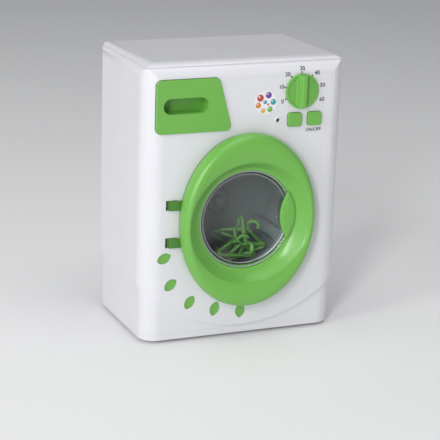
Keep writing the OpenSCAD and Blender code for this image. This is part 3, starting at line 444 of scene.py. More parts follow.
def add_piece(name, bm, finish, body, crease=32.0):
    """Turns a bmesh into a finished piece that rides on a body."""
    limit = math.radians(crease)
    for face in bm.faces:
        face.smooth = True
    for edge in bm.edges:
        edge.smooth = edge.calc_face_angle(0.0) < limit
    mesh = bpy.data.meshes.new(name)
    bm.to_mesh(mesh)
    bm.free()
    piece = bpy.data.objects.new(name, mesh)
    bpy.context.scene.collection.objects.link(piece)
    mesh.materials.append(FINISHES[finish])
    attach(piece, body)
    return piece


def stand_in(node, bm, crease=32.0):
    """A finished piece that stands for a frame node, with its finish and on its body."""
    piece = add_piece(node + "_piece", bm, finish_of_node(node), body_of_node(node), crease)
    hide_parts(node)
    return piece


def even_normals(piece):
    """Keeps broad faces flat beside their rounded edges."""
    modifier = piece.modifiers.new("even normals", "WEIGHTED_NORMAL")
    modifier.keep_sharp = True
    modifier.weight = 80


def node_copy(node):
    """A merged copy of a frame node's mesh, with its flat faces made whole."""
    bm = bmesh.new()
    bm.from_mesh(frame["nodes"][node].data)
    bmesh.ops.remove_doubles(bm, verts=bm.verts, dist=MERGE)
    bmesh.ops.dissolve_limit(bm, angle_limit=FLAT, verts=bm.verts, edges=bm.edges,
                             use_dissolve_boundaries=False)
    return bm


def round_edges(bm, radius, segments=3, angle=30.0, wanted=None):
    """Bevels the edges of a bmesh that are sharper than an angle and that a test picks out."""
    limit = math.radians(angle)
    edges = [e for e in bm.edges if len(e.link_faces) == 2
             and e.calc_face_angle(0.0) > limit and (wanted is None or wanted(e))]
    bmesh.ops.bevel(bm, geom=edges, offset=radius, offset_type="OFFSET", segments=segments,
                    profile=0.5, affect="EDGES", clamp_overlap=True, material=-1)


def softened(node, radius, segments=3):
    """A frame node again, with its moulded edges rounded."""
    bm = node_copy(node)
    round_edges(bm, radius, segments)
    even_normals(stand_in(node, bm))


def add_box(bm, place, across, deep, up):
    """Adds a box to a bmesh at a place, which may be turned, with its three sizes in metres."""
    size = Matrix.Diagonal((across, deep, up, 1.0))
    bmesh.ops.create_cube(bm, size=1.0, matrix=place @ size)


def circle_outline(count):
    """Unit points round a circle, as (x, z)."""
    return [(math.cos(math.tau * k / count), math.sin(math.tau * k / count))
            for k in range(count)]


def lens_outline(count, ratio):
    """Unit points round a lens of two arcs, long along z, whose width is ratio of its length."""
    arc = (1.0 + ratio * ratio) / (2.0 * ratio)
    tip = math.asin(1.0 / arc)
    side = [(arc * math.cos(a) - arc + ratio, arc * math.sin(a))
            for a in (tip * (2.0 * k / count - 1.0) for k in range(count))]
    return [(x / ratio, z) for x, z in side] + [(-x / ratio, -z) for x, z in side]


def loft(rows, outline, centre, closed=True, capped=False):
    """Rows of (rise, half width, half height, y) of one outline joined into a skin, in metres."""
    bm = bmesh.new()
    ring = [bm.verts.new((x, 0.0, z)) for x, z in outline]
    edges = [bm.edges.new(pair) for pair in zip(ring, ring[1:] + ring[:1])]
    first = edges
    rise, half_w, half_h, y = rows[0]
    bmesh.ops.scale(bm, vec=(half_w, 1.0, half_h), verts=ring)
    bmesh.ops.translate(bm, vec=(centre.x, y, centre.z + rise), verts=ring)
    for (rise, half_w, half_h, y), (new_rise, new_w, new_h, new_y) in zip(rows, rows[1:]):
        made = bmesh.ops.extrude_edge_only(bm, edges=edges)["geom"]
        ring = [v for v in made if isinstance(v, bmesh.types.BMVert)]
        kept = set(ring)
        edges = [e for e in made if isinstance(e, bmesh.types.BMEdge)
                 and all(v in kept for v in e.verts)]
        anchor = Matrix.Translation((-centre.x, 0.0, -centre.z - rise))
        bmesh.ops.scale(bm, vec=(new_w / half_w, 1.0, new_h / half_h), space=anchor, verts=ring)
        bmesh.ops.translate(bm, vec=(0.0, new_y - y, new_rise - rise), verts=ring)
    if closed:
        bmesh.ops.bridge_loops(bm, edges=first + edges)
    if capped:
        bmesh.ops.contextual_create(bm, geom=first)
        bmesh.ops.contextual_create(bm, geom=edges)
    bmesh.ops.recalc_face_normals(bm, faces=bm.faces)
    return bm


def smoothed(rows, steps):
    """Rows with more points added on a smooth curve through them, ends kept."""
    padded = [rows[0], *rows, rows[-1]]
    out = []
    for k in range(len(rows) - 1):
        a, b, c, d = (Vector(padded[k + j]) for j in range(4))
        for s in range(steps):
            t = s / steps
            out.append(0.5 * (2 * b + (c - a) * t + (2 * a - 5 * b + 4 * c - d) * t * t
                              + (3 * b - a - 3 * c + d) * t ** 3))
    out.append(Vector(rows[-1]))
    return out


def turned(profile, centre, segments):
    """Spins a closed outline of (radius, proud) points in millimetres round the Y axis."""
    bm = bmesh.new()
    verts = [bm.verts.new((centre.x + r * MM, FACE_Y - p * MM, centre.z)) for r, p in profile]
    edges = [bm.edges.new((a, b)) for a, b in zip(verts, verts[1:] + verts[:1])]
    bmesh.ops.spin(bm, geom=verts + edges, cent=(centre.x, 0.0, centre.z),
                   axis=(0.0, 1.0, 0.0), angle=math.tau, steps=segments, use_merge=True)
    bmesh.ops.remove_doubles(bm, verts=bm.verts, dist=FINE_MERGE)
    on_axis = [e for e in bm.edges if not e.link_faces]
    bmesh.ops.delete(bm, geom=on_axis, context="EDGES")
    bmesh.ops.recalc_face_normals(bm, faces=bm.faces)
    return bm


def add_curve(bm, curve, place):
    """Adds the mesh of a curve or a text, moved by a matrix, to a bmesh."""
    holder = bpy.data.objects.new(curve.name, curve)
    bpy.context.scene.collection.objects.link(holder)
    bpy.context.view_layer.update()
    mesh = bpy.data.meshes.new_from_object(holder)
    bpy.data.objects.remove(holder)
    bpy.data.curves.remove(curve)
    mesh.transform(place)
    bm.from_mesh(mesh)
    bpy.data.meshes.remove(mesh)


def islands(bm):
    """Connected groups of a bmesh's vertices."""
    left = set(bm.verts)
    while left:
        group = set()
        fresh = [left.pop()]
        while fresh:
            vert = fresh.pop()
            group.add(vert)
            near = {e.other_vert(vert) for e in vert.link_edges} & left
            left -= near
            fresh += near
        yield group


def cut_away(piece, cutter):
    """Cuts a bmesh out of a piece for good."""
    mesh = bpy.data.meshes.new("cutter")
    bmesh.ops.recalc_face_normals(cutter, faces=cutter.faces)
    cutter.to_mesh(mesh)
    cutter.free()
    tool = bpy.data.objects.new("cutter", mesh)
    bpy.context.scene.collection.objects.link(tool)
    modifier = piece.modifiers.new("recess", "BOOLEAN")
    modifier.operation = "DIFFERENCE"
    modifier.solver = "EXACT"
    modifier.use_self = False
    modifier.object = tool
    bpy.context.view_layer.update()
    graph = bpy.context.evaluated_depsgraph_get()
    whole = bpy.data.meshes.new_from_object(piece.evaluated_get(graph))
    piece.modifiers.remove(modifier)
    piece.data = whole
    bpy.data.objects.remove(tool)
    bpy.data.meshes.remove(mesh)


# ---- Finishes and casing ----

class WASHER_OT_finishes(bpy.types.Operator):
    """Makes the materials and gives every frame node its own"""

    bl_idname = "washer.finishes"
    bl_label = "Finishes"

    def execute(self, context):
        FINISHES.update(make_materials())
        for finish, nodes in NODE_FINISH.items():
            for node in nodes:
                mesh = frame["nodes"][node].data
                mesh.materials.clear()
                mesh.materials.append(FINISHES[finish])
        return {"FINISHED"}


# Rounding of the feet's edges, in millimetres
FOOT_EDGE = 0.8


class WASHER_OT_casing(bpy.types.Operator):
    """Rounds the moulded edges of the shells, lid, tray, collar, inlays and feet"""

    bl_idname = "washer.casing"
    bl_label = "Casing"

    def execute(self, context):
        for node in ("front_shell", "rear_shell", "top_cover", "base_tray",
                     "porthole_collar", "vent_insert"):
            softened(node, sizes().edge, 2)
        softened("feet", FOOT_EDGE * MM)
        return {"FINISHED"}


# ---- Door ----

# The window, in millimetres: its radius, how far its lip and its seat are proud of the face,
# its wall and the depth of its bowl
WINDOW_R = 42.0
WINDOW_LIP = 3.6
WINDOW_SEAT = 2.4
WINDOW_T = 1.6
BOWL_DEPTH = WINDOW_LIP + (high("door_window").y - FACE_Y) / MM - WINDOW_T
# Its flange's radius, the gap in front of and behind the flange, and how far the bowl's own
# points keep from the bead round its rim
FLANGE_R = WINDOW_R + 2.1
FLANGE_GAP = 0.05
BEAD_GAP = 0.3
BOWL_STEPS = 32
WINDOW_SEGMENTS = 144
HOOP_POINTS = 12
# Steps that the curve through the ring's front takes between two sections
RING_STEPS = 5
# Rounding of the inner ring's edges, in millimetres
INNER_RING_EDGE = 0.35
# How far the grip laps over its node at each side, in millimetres, and its points at each side
GRIP_LAP = 0.15
GRIP_POINTS = 40
# An outline with pointed ends draws in this many times as far at its ends as at its sides
TIP_PULL = 1.6


def ring_rows():
    """Sections of the door ring from the outside round to the hollow back, in millimetres.

    Each holds the rise of its middle, its half width, its half height and how far it is proud.
    """
    out_w = (high("door_ring").x - low("door_ring").x) / 2 / MM
    out_h = (high("door_ring").z - low("door_ring").z) / 2 / MM
    bore = WINDOW_R + 0.2
    dish_w = out_w - 7.5
    dish_h = WINDOW_R + 9.3
    front = (
        (0.0, out_w - 2.5, out_h - 2.5, 2.4),
        (0.0, out_w - 1.2, out_h - 1.2, 3.2),
        (0.0, out_w - 0.25, out_h - 0.25, 4.9),
        (0.0, out_w, out_h, 6.8),
        (0.0, out_w - 0.15, out_h - 0.15, 8.6),
        (0.0, out_w - 0.8, out_h - 0.9, 11.3),
        (0.0, out_w - 1.9, out_h - 2.3, 13.8),
        (0.0, out_w - 3.5, out_h - 4.9, 15.4),
        (0.0, out_w - 5.1, out_h - 8.8, 15.95),
        (-0.5, dish_w + 1.4, (out_h + dish_h) / 2 - 4.0, 15.6),
        (-0.8, dish_w + 0.8, dish_h + 1.5, 14.85),
        (-0.8, dish_w + 0.35, dish_h + 0.6, 14.3),
        (-0.8, dish_w - 0.2, dish_h - 0.2, 13.6),
        (-0.7, dish_w - 1.6, dish_h - 1.3, 12.3),
        (-0.5, dish_w - 5.0, dish_h - 3.9, 9.2),
        (0.0, WINDOW_R + 2.9, WINDOW_R + 2.9, 6.6),
        (0.0, WINDOW_R + 1.2, WINDOW_R + 1.2, 5.7),
        (0.0, bore, bore, 5.2),
    )
    back = (
        (0.0, bore, bore, 3.7),
        (0.0, WINDOW_R + 2.6, WINDOW_R + 2.6, 3.7),
        (-0.5, dish_w - 3.4, dish_h - 2.3, 7.6),
        (-0.8, dish_w + 1.4, dish_h + 2.1, 12.2),
        (0.0, out_w - 5.4, out_h - 10.0, 13.8),
        (0.0, out_w - 4.2, out_h - 5.0, 11.6),
        (0.0, out_w - 2.2, out_h - 2.2, 7.5),
        (0.0, out_w - 4.0, out_h - 4.0, 2.4),
    )
    return front, back


def to_place(row):
    """A section of the ring as its rise, its half sizes and its y, in metres."""
    rise, half_w, half_h, proud = row
    return rise * MM, half_w * MM, half_h * MM, FACE_Y - proud * MM


def make_door_ring():
    """The oval ring, dished towards the window and hollow behind."""
    front, back = ring_rows()
    rows = [to_place(row) for row in (*smoothed(front, RING_STEPS), *back)]
    bm = loft(rows, circle_outline(sizes().door_segments), DOOR)
    stand_in("door_ring", bm, crease=48.0)


def bowl_proud(r):
    """How far the window's bowl stands proud of the face at radius r; it sinks to its middle."""
    sphere = (WINDOW_R ** 2 + BOWL_DEPTH ** 2) / (2 * BOWL_DEPTH)
    return WINDOW_LIP - BOWL_DEPTH + sphere - math.sqrt(sphere * sphere - r * r)


def make_window():
    """The clear bowl, with a rounded bead round its rim and a flange behind the ring."""
    rim = WINDOW_R - 0.3
    inner = WINDOW_R - 2.0
    lip = WINDOW_LIP - FLANGE_GAP
    seat = WINDOW_SEAT + FLANGE_GAP
    start = rim - 1.9
    bead = [(start, 3.75), (rim - 1.5, 4.15), (rim - 0.9, 4.3), (rim - 0.3, 4.15), (rim, 3.8)]
    flange = [(rim, lip), (FLANGE_R, lip), (FLANGE_R, seat), (inner, seat)]
    shares = [k / BOWL_STEPS for k in range(BOWL_STEPS + 1)]
    outside = [(rim * s, bowl_proud(rim * s)) for s in shares if rim * s < start - BEAD_GAP]
    inside = [(inner * s, bowl_proud(inner * s) - WINDOW_T) for s in reversed(shares)]
    bm = turned(outside + bead + flange + inside, DOOR, WINDOW_SEGMENTS)
    stand_in("door_window", bm, crease=40.0)


def make_hoop(name, reach, thick, front):
    """A thin pale hoop on the window, which paints a highlight line: its radius, thickness and
    front, in millimetres.
    """
    half = thick / 2
    section = [(reach + half * x, front - half + half * y)
               for x, y in circle_outline(HOOP_POINTS)]
    add_piece(name, turned(section, DOOR, WINDOW_SEGMENTS), "pale_painted_highlight", "door")


def make_grip():
    """The lens-shaped grip, crowned and rounded along its edge."""
    half_w = (high("door_grip").x - low("door_grip").x) / 2 + GRIP_LAP * MM
    half_h = (high("door_grip").z - low("door_grip").z) / 2
    front = low("door_grip").y
    back = high("door_grip").y
    # How far each section draws in from the outline in millimetres, and its y
    insets = ((0.25, back), (0.0, back - 0.3 * MM), (0.0, front + 0.9 * MM),
              (0.12, front + 0.5 * MM), (0.4, front + 0.2 * MM), (0.85, front + 0.03 * MM),
              (1.6, front - 0.08 * MM), (3.0, front - 0.2 * MM), (4.6, front - 0.27 * MM))
    rows = [(0.0, half_w - inset * MM, half_h - TIP_PULL * inset * MM, y)
            for inset, y in insets]
    outline = lens_outline(GRIP_POINTS, half_w / half_h)
    bm = loft(rows, outline, middle("door_grip"), closed=False, capped=True)
    stand_in("door_grip", bm, crease=50.0)


class WASHER_OT_door(bpy.types.Operator):
    """Builds the oval ring, its inner ring, the domed window and the grip"""

    bl_idname = "washer.door"
    bl_label = "Door"

    def execute(self, context):
        make_door_ring()
        # The inner ring's darker green is painted shade: the dark line round the door
        softened("door_inner_ring", INNER_RING_EDGE * MM, 2)
        make_window()
        # Two pale hoops paint the highlight lines round the window's rim and step
        make_hoop("rim_highlight_hoop", reach=WINDOW_R - 0.75, thick=1.0, front=4.38)
        step = WINDOW_R - 3.6
        make_hoop("step_highlight_hoop", reach=step, thick=0.56, front=bowl_proud(step) + 0.12)
        make_grip()
        return {"FINISHED"}


# ---- Drawer ----

# Rounding of the edges of the drawer's front and of its tray, in millimetres
DRAWER_FRONT_EDGE = 1.0
DRAWER_TRAY_EDGE = 0.4


class WASHER_OT_drawer(bpy.types.Operator):
    """Rounds the drawer's front with its finger slot, and the tray behind it"""

    bl_idname = "washer.drawer"
    bl_label = "Drawer"

    def execute(self, context):
        softened("drawer_front", DRAWER_FRONT_EDGE * MM, 4)
        softened("drawer_tray", DRAWER_TRAY_EDGE * MM, 2)
        return {"FINISHED"}


# ---- Knob, buttons, lamp and printed marks ----

# The knob, in millimetres: the rounding of its rim and of its bar, and its bar's height
KNOB_RIM = 1.3
KNOB_EDGE = 0.5
KNOB_BAR = 5.0
# Its rim's edges are this close to its outline and this far from its back, and its bar's
# edges are this far inside its outline
RIM_ZONE = 0.4
BACK_ZONE = 1.0
BAR_ZONE = 2.0
# The sunk halves of its face: their distance from the bar's middle and from the rounded rim,
# the width and depth of their slope, how far their cutter starts in front of the face, and
# the steps of its arc to each side
KNOB_FOOT = 4.6
KNOB_LAND = 0.2
SINK_SLOPE = 0.8
SINK_DEPTH = 0.9
SINK_START = 0.3
SINK_STEPS = 12
# How far the edge of a button's face lies behind its middle, the edge's rounding, and how far
# behind it an edge is still rounded too
CUSHION_DROP = 1.7
BUTTON_EDGE = 0.5
BUTTON_REACH = 0.1
# Section of the indicator lamp's raised bezel: radius and how far proud of the face
BEZEL = ((1.75, -0.6), (1.75, 0.35), (1.95, 0.65), (2.35, 0.75), (2.85, 0.6), (3.2, 0.15),
         (3.25, -0.6))
BEZEL_SEGMENTS = 48
# Each numeral, and its middle to the right of and above the knob's, in millimetres
DIAL_NUMBERS = ((0, -17.0, -8.3), (10, -18.4, 4.0), (20, -12.9, 14.3), (30, 0.8, 18.4),
                (40, 14.0, 14.4), (50, 19.2, 3.9), (60, 19.2, -8.2))
# Degrees from tick to tick, and a tick's start and end from the knob's middle and its width
DIAL_STEP = 38.0
TICK_START = 14.6
TICK_END = 16.3
TICK_W = 1.0
# How far a print stands proud of the plastic, and sinks into it
PRINT_T = 0.05
# What a letter's strokes gain in weight at each side, as a share of its size
PRINT_WEIGHT = 0.02
# How far the middle of the words is below the right button
WORDS_DROP = 2.6
# The roll of the casing's front into its top: its radius, and the height where it starts
ROLL_R = 16.0
ROLL_START = high("top_cover").z / MM - ROLL_R


def make_button(node):
    """A button whose front falls away to its edge like a cushion."""
    bm = node_copy(node)
    front = low(node).y
    fallen = front + CUSHION_DROP * MM
    face = [f for f in bm.faces if all(v.co.y < front + ON_PLANE for v in f.verts)]
    whole = {v for f in face for v in f.verts}
    bmesh.ops.inset_region(bm, faces=face, thickness=sizes().button_slope, use_even_offset=True)
    for vert in whole - {v for f in face for v in f.verts}:
        vert.co.y += CUSHION_DROP * MM
    round_edges(bm, BUTTON_EDGE * MM, 4, angle=20.0, wanted=lambda edge: all(
        v.co.y < fallen + BUTTON_REACH * MM for v in edge.verts))
    even_normals(stand_in(node, bm))


def from_axis(vert):
    """Distance of a vertex from the knob's axis."""
    return math.hypot(vert.co.x - KNOB.x, vert.co.z - KNOB.z)


def sunk_half(side, reach, top):
    """Cutter for the sunk half of the knob's face on one side of its bar; top is the face's y."""
    half_w = (reach - KNOB_FOOT) / 2
    half_h = math.sqrt(reach ** 2 - KNOB_FOOT ** 2)
    sweep = math.asin(half_h / reach)
    arc = [sweep * (k / SINK_STEPS - 1) for k in range(2 * SINK_STEPS + 1)]
    outline = [(side * (reach * math.cos(a) - KNOB_FOOT - half_w) / half_w,
                reach * math.sin(a) / half_h) for a in arc]
    floor_w = half_w - SINK_SLOPE
    floor_h = half_h - TIP_PULL * SINK_SLOPE
    rows = [(0.0, half_w * MM, half_h * MM, top - SINK_START * MM),
            (0.0, half_w * MM, half_h * MM, top),
            (0.0, floor_w * MM, floor_h * MM, top + SINK_DEPTH * MM)]
    centre = KNOB + Vector((side * (KNOB_FOOT + half_w) * MM, 0.0, 0.0))
    return loft(rows, outline, centre, closed=False, capped=True)


def make_knob():
    """The knob with a broad rounded rim, a sunk face and a softly edged grip bar."""
    bm = node_copy("knob")
    radius = (high("knob").x - low("knob").x) / 2
    back = high("knob").y - BACK_ZONE * MM
    top = low("knob").y + KNOB_BAR * MM
    round_edges(bm, KNOB_RIM * MM, 4, wanted=lambda edge: all(
        from_axis(v) > radius - RIM_ZONE * MM and v.co.y < back for v in edge.verts))
    round_edges(bm, KNOB_EDGE * MM, 4, angle=35.0, wanted=lambda edge: all(
        from_axis(v) < radius - BAR_ZONE * MM for v in edge.verts))
    knob = stand_in("knob", bm)
    for side in (-1, 1):
        cut_away(knob, sunk_half(side, radius / MM - KNOB_RIM - KNOB_LAND, top))


def face_depth(z):
    """Depth of the casing's front behind its flat face at a height, in millimetres."""
    over = z - ROLL_START
    return 0.0 if over <= 0.0 else ROLL_R - math.sqrt(ROLL_R ** 2 - over ** 2)


def lay_on_face(bm):
    """Moves a flat print, drawn in X and Z, onto the casing's rolled front."""
    for vert in bm.verts:
        vert.co.y += FACE_Y + face_depth(vert.co.z / MM) * MM


def printed_text(name, words, size, x, z):
    """Centred lettering on the front, as a thin raised print."""
    curve = bpy.data.curves.new(name, "FONT")
    curve.body = words
    curve.size = size
    curve.align_x = "CENTER"
    curve.align_y = "CENTER"
    curve.offset = size * PRINT_WEIGHT
    curve.extrude = PRINT_T * MM
    upright = Matrix.Translation((x * MM, 0.0, z * MM)) @ Matrix.Rotation(math.pi / 2, 4, "X")
    bm = bmesh.new()
    add_curve(bm, curve, upright)
    bmesh.ops.remove_doubles(bm, verts=bm.verts, dist=MERGE)
    lay_on_face(bm)
    add_piece(name, bm, "ink", "casing", crease=20.0)


def make_marks():
    """Numerals and ticks round the knob, and the words under the right button."""
    knob_x = KNOB.x / MM
    knob_z = KNOB.z / MM
    there = Matrix.Translation((KNOB.x, 0.0, KNOB.z))
    out = Matrix.Translation((0.0, 0.0, (TICK_START + TICK_END) / 2 * MM))
    ticks = bmesh.new()
    for place, (number, across, up) in enumerate(DIAL_NUMBERS):
        printed_text(f"numeral_{number}", str(number), sizes().numeral, knob_x + across,
                     knob_z + up)
        steps = place - len(DIAL_NUMBERS) // 2
        turn = Matrix.Rotation(math.radians(DIAL_STEP * steps), 4, "Y")
        add_box(ticks, there @ turn @ out, TICK_W * MM, 2 * PRINT_T * MM,
                (TICK_END - TICK_START) * MM)
    lay_on_face(ticks)
    add_piece("dial_ticks", ticks, "ink", "casing", crease=20.0)
    printed_text("on_off", "ON/OFF", sizes().lettering, middle("button_right").x / MM,
                 low("button_right").z / MM - WORDS_DROP)


class WASHER_OT_controls(bpy.types.Operator):
    """Builds the knob, the buttons, the indicator lamp's bezel and the printed marks"""

    bl_idname = "washer.controls"
    bl_label = "Controls"

    def execute(self, context):
        make_knob()
        for node in ("button_left", "button_right"):
            make_button(node)
        bezel = turned(BEZEL, middle("indicator_lamp"), BEZEL_SEGMENTS)
        add_piece("lamp_bezel", bezel, "white", "casing")
        make_marks()
        return {"FINISHED"}


# ---- Hangers ----

# A hanger, in millimetres: its width and height, how far its ends reach past the middles of
# its corners, how far its shoulders' rise and the middle of its neck stay below its top, the
# radius of its corners and of its neck, and its rod's radius
HANGER_W = 40.0
HANGER_H = 13.0
HANGER_END = 3.0
SHOULDER_DROP = 3.0
NECK_DROP = 2.0
CORNER_R = 2.2
NECK_R = 3.0
ROD_R = 1.5
# Its hook: the start and end of its stem above the hanger, and the middle of its bend to the
# right and above, the bend's radius, and its start and end in degrees
STEM_START = 0.5
STEM_END = 3.5
BEND_X = 3.4
BEND_Z = 7.5
BEND_R = 4.4
BEND_FROM = 215.0
BEND_TO = -15.0
# Radius of the drum's inner wall
DRUM_IN = 48.2
# For each hanger: middle (across, depth behind the face) and turns about X, Y and Z in degrees
HANGER_LIES = ((3.0, 20.0, -22.0, 10.0, 12.0), (12.0, 25.0, 34.0, -22.0, -16.0),
               (5.0, 30.0, -48.0, 163.0, 24.0), (13.0, 35.0, 26.0, 20.0, -20.0),
               (0.0, 40.0, 56.0, -16.0, 14.0), (9.0, 46.0, -26.0, 186.0, 8.0),
               (8.0, 33.0, 72.0, 96.0, -8.0))


def arc_points(x, z, radius, start, end, steps):
    """Points along an arc in degrees, as (x, 0, z)."""
    turns = (math.radians(start + (end - start) * k / steps) for k in range(steps + 1))
    return [(x + radius * math.cos(a), 0.0, z + radius * math.sin(a)) for a in turns]


def hanger_paths():
    """The closed shoulder loop and the open hook of one hanger, in millimetres."""
    side = HANGER_W / 2 - HANGER_END
    slope = math.degrees(math.atan2(HANGER_H - SHOULDER_DROP, side))
    loop = (arc_points(side, CORNER_R, CORNER_R, -90.0, 90.0 - slope, 8)
            + arc_points(0.0, HANGER_H - NECK_DROP, NECK_R, 90.0 - slope, 90.0 + slope, 6)
            + arc_points(-side, CORNER_R, CORNER_R, 90.0 + slope, 270.0, 8))
    hook = [(0.0, 0.0, HANGER_H + STEM_START), (0.0, 0.0, HANGER_H + STEM_END)]
    hook += arc_points(BEND_X, HANGER_H + BEND_Z, BEND_R, BEND_FROM, BEND_TO, 14)
    return loop, hook


def add_rods(bm, paths, place):
    """Adds round rods along paths, moved by a matrix, to a bmesh."""
    curve = bpy.data.curves.new("rod", "CURVE")
    curve.dimensions = "3D"
    curve.bevel_depth = ROD_R
    curve.bevel_resolution = 4
    curve.use_fill_caps = True
    for path, cyclic in paths:
        spline = curve.splines.new("POLY")
        spline.points.add(len(path) - 1)
        for point, at in zip(spline.points, path):
            point.co = (*at, 1.0)
        spline.use_cyclic_u = cyclic
    add_curve(bm, curve, place)


def make_hangers():
    """Drops each hanger, turned its own way, until it rests on the drum's wall."""
    loop, hook = hanger_paths()
    points = [Vector(p) for p in (*loop, *hook)]
    drum = middle("drum_front_ring")
    wall = DRUM_IN - ROD_R
    bm = bmesh.new()
    for across, depth, lean, roll, twist in HANGER_LIES:
        turn = (Matrix.Rotation(math.radians(twist), 4, "Z")
                @ Matrix.Rotation(math.radians(roll), 4, "Y")
                @ Matrix.Rotation(math.radians(lean), 4, "X"))
        lying = [turn @ p for p in points]
        fall = min(math.sqrt(max(wall ** 2 - (p.x + across) ** 2, 0.0)) + p.z for p in lying)
        place = (Matrix.Translation((drum.x + across * MM, FACE_Y + depth * MM,
                                     drum.z - fall * MM)) @ turn @ Matrix.Scale(MM, 4))
        add_rods(bm, ((loop, True), (hook, False)), place)
    bmesh.ops.remove_doubles(bm, verts=bm.verts, dist=FINE_MERGE)
    bmesh.ops.recalc_face_normals(bm, faces=bm.faces)
    # The hangers' darker green is painted shade inside the drum
    stand_in("hangers", bm, crease=60.0)


class WASHER_OT_hangers(bpy.types.Operator):
    """Lays the toy clothes hangers in the bottom of the drum"""

    bl_idname = "washer.hangers"
    bl_label = "Hangers"

    def execute(self, context):
        make_hangers()
        return {"FINISHED"}


# ---- Battery cover and screws ----

# Rounding of the battery cover's edges, in millimetres
COVER_EDGE = 0.4
# The battery cover's ridges, in millimetres: how many, their three sizes, the step between
# two, the first one's height above the cover's foot, how far their middles stand out from
# the cover, and their rounding
RIDGES = 5
RIDGE_W = 16.0
RIDGE_T = 1.0
RIDGE_H = 1.2
RIDGE_STEP = 2.6
RIDGE_START = 7.0
RIDGE_OUT = 0.1
RIDGE_EDGE = 0.35
# A cross recess: the width of its bars and their full depth, half of it above the head, in
# millimetres, their length in radii of the head, and the turn of the first in radians
CROSS_W = 0.55
CROSS_DEPTH = 1.4
CROSS_SPAN = 1.15
CROSS_TURN = 0.4
# Rounding of a screw's head, in millimetres
HEAD_EDGE = 0.25


def make_ridges():
    """Raised ridges that a thumb pushes to slide the battery cover off."""
    cover = middle("battery_cover")
    foot = low("battery_cover").z
    back = high("battery_cover").y + RIDGE_OUT * MM
    bm = bmesh.new()
    for k in range(RIDGES):
        at = Vector((cover.x, back, foot + (RIDGE_START + RIDGE_STEP * k) * MM))
        add_box(bm, Matrix.Translation(at), RIDGE_W * MM, RIDGE_T * MM, RIDGE_H * MM)
    round_edges(bm, RIDGE_EDGE * MM)
    add_piece("battery_ridges", bm, "white", "casing")


def cross_screws(node):
    """A screw node again, with rounded heads and a cross recess cut in each."""
    bm = node_copy(node)
    heads = []
    for group in islands(bm):
        end = max(v.co.y for v in group)
        rim = [v.co for v in group if abs(v.co.y - end) < ON_PLANE]
        centre = sum(rim, Vector()) / len(rim)
        heads.append((centre, max((co - centre).length for co in rim) * CROSS_SPAN))
    round_edges(bm, HEAD_EDGE * MM, 2)
    piece = stand_in(node, bm)
    for turn in (CROSS_TURN, CROSS_TURN + math.pi / 2):
        cutter = bmesh.new()
        for centre, span in heads:
            place = Matrix.Translation(centre) @ Matrix.Rotation(turn, 4, "Y")
            add_box(cutter, place, span, CROSS_DEPTH * MM, CROSS_W * MM)
        cut_away(piece, cutter)


class WASHER_OT_back(bpy.types.Operator):
    """Adds the battery cover's ridges and the cross recesses of the screws"""

    bl_idname = "washer.back"
    bl_label = "Back"

    def execute(self, context):
        softened("battery_cover", COVER_EDGE * MM, 2)
        make_ridges()
        for node in ("battery_cover_screw", "case_screws", "door_screws", "drawer_screws"):
            cross_screws(node)
        return {"FINISHED"}


# ---- Stage ----

# Side of the square floor, in metres
FLOOR_SIZE = 12.0
# Name, place, width and height in metres, and power in watts
LAMPS = (
    ("key", (-1.3, -1.7, 0.95), (0.35, 1.3), 23.5),
    ("side", (-1.9, -0.75, 0.9), (0.35, 1.3), 12.0),
    ("fill", (1.5, -1.2, 0.9), (1.2, 1.2), 2.0),
    ("top", (0.0, -0.2, 1.9), (1.6, 1.6), 13.0),
)
LAMPS_AIM = Vector((0.0, 0.0, 0.12))
SKY_COLOUR = (0.95, 0.97, 1.0, 1.0)
SKY_STRENGTH = 0.25
# Where the camera is, and its right and up directions
CAMERA_AT = Vector((-0.5571, -1.2862, 0.5001))
CAMERA_RIGHT = Vector((0.92065, -0.38914, 0.03125))
CAMERA_UP = Vector((0.08213, 0.27132, 0.95898))
# Its lens and its film's width in millimetres, and how far it sees in metres
CAMERA_LENS = 138.2
CAMERA_FILM = 36.0
CAMERA_REACH = 50.0


def make_floor():
    """A wide pale floor."""
    bm = bmesh.new()
    bmesh.ops.create_grid(bm, x_segments=2, y_segments=2, size=FLOOR_SIZE / 2)
    mesh = bpy.data.meshes.new("floor")
    bm.to_mesh(mesh)
    bm.free()
    floor = bpy.data.objects.new("floor", mesh)
    bpy.context.scene.collection.objects.link(floor)
    paint = Paint("floor_paint", roughness=0.8)
    clouds = paint.noise(scale=3.0, detail=2.0)
    paint.mottle(clouds, tuple(colours().floor), dark=0.99, light=1.01)
    mesh.materials.append(paint.material)


def make_lights():
    """Soft lamps that all point at the toy, and a faint even sky."""
    for name, at, size, power in LAMPS:
        lamp = bpy.data.lights.new(name, "AREA")
        lamp.shape = "RECTANGLE"
        lamp.size, lamp.size_y = size
        lamp.energy = power
        holder = bpy.data.objects.new(name, lamp)
        holder.location = at
        aim = LAMPS_AIM - Vector(at)
        holder.rotation_euler = aim.to_track_quat("-Z", "Y").to_euler()
        bpy.context.scene.collection.objects.link(holder)
    world = bpy.data.worlds.new("studio")
    world.use_nodes = True
    sky = world.node_tree.nodes["Background"]
    sky.inputs["Color"].default_value = SKY_COLOUR
    sky.inputs["Strength"].default_value = SKY_STRENGTH
    bpy.context.scene.world = world


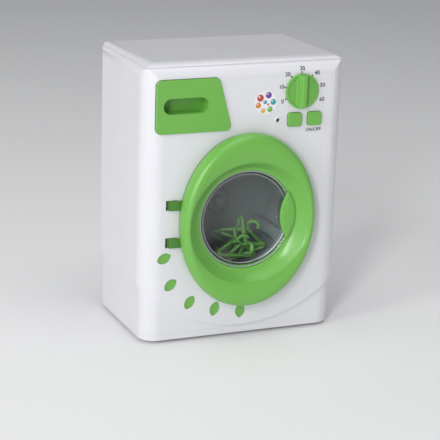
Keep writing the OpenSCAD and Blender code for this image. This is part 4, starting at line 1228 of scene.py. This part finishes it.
def make_camera():
    """The camera, from the left and above."""
    lens = bpy.data.cameras.new("camera")
    lens.lens = CAMERA_LENS
    lens.sensor_width = CAMERA_FILM
    lens.clip_end = CAMERA_REACH
    camera = bpy.data.objects.new("camera", lens)
    back = CAMERA_RIGHT.cross(CAMERA_UP)
    turn = Matrix((CAMERA_RIGHT, CAMERA_UP, back)).transposed().to_4x4()
    camera.matrix_world = Matrix.Translation(CAMERA_AT) @ turn
    bpy.context.scene.collection.objects.link(camera)
    bpy.context.scene.camera = camera
    bpy.context.scene.view_settings.view_transform = "Standard"


class WASHER_OT_stage(bpy.types.Operator):
    """Sets the floor, the soft light and the camera"""

    bl_idname = "washer.stage"
    bl_label = "Stage"

    def execute(self, context):
        make_floor()
        make_lights()
        make_camera()
        return {"FINISHED"}


# ---- Panel and registration ----

class WASHER_PT_panel(bpy.types.Panel):
    """Sizes, colours and pieces of the toy washing machine"""

    bl_label = "Toy Washer"
    bl_idname = "WASHER_PT_panel"
    bl_space_type = "VIEW_3D"
    bl_region_type = "UI"
    bl_category = "Toy Washer"

    def draw(self, context):
        layout = self.layout
        for group in (sizes(), colours()):
            for name in group.bl_rna.properties.keys():
                if name not in ("rna_type", "name"):
                    layout.prop(group, name)
        for step in STEPS:
            layout.operator(step.bl_idname)


STEPS = (WASHER_OT_stage, WASHER_OT_finishes, WASHER_OT_casing, WASHER_OT_door,
         WASHER_OT_drawer, WASHER_OT_controls, WASHER_OT_hangers, WASHER_OT_back)
CLASSES = (WasherSizes, WasherColours, *STEPS, WASHER_PT_panel)


def register():
    """Registers every class and hangs the user's values on the scene."""
    for cls in CLASSES:
        bpy.utils.register_class(cls)
    bpy.types.Scene.washer_sizes = bpy.props.PointerProperty(type=WasherSizes)
    bpy.types.Scene.washer_colours = bpy.props.PointerProperty(type=WasherColours)


def unregister():
    """Takes the user's values and every class away again."""
    del bpy.types.Scene.washer_colours
    del bpy.types.Scene.washer_sizes
    for cls in reversed(CLASSES):
        bpy.utils.unregister_class(cls)


def main():
    register()
    bpy.ops.washer.stage()
    bpy.ops.washer.finishes()
    bpy.ops.washer.casing()
    bpy.ops.washer.door()
    bpy.ops.washer.drawer()
    bpy.ops.washer.controls()
    bpy.ops.washer.hangers()
    bpy.ops.washer.back()


if __name__ == "__main__":
    main()
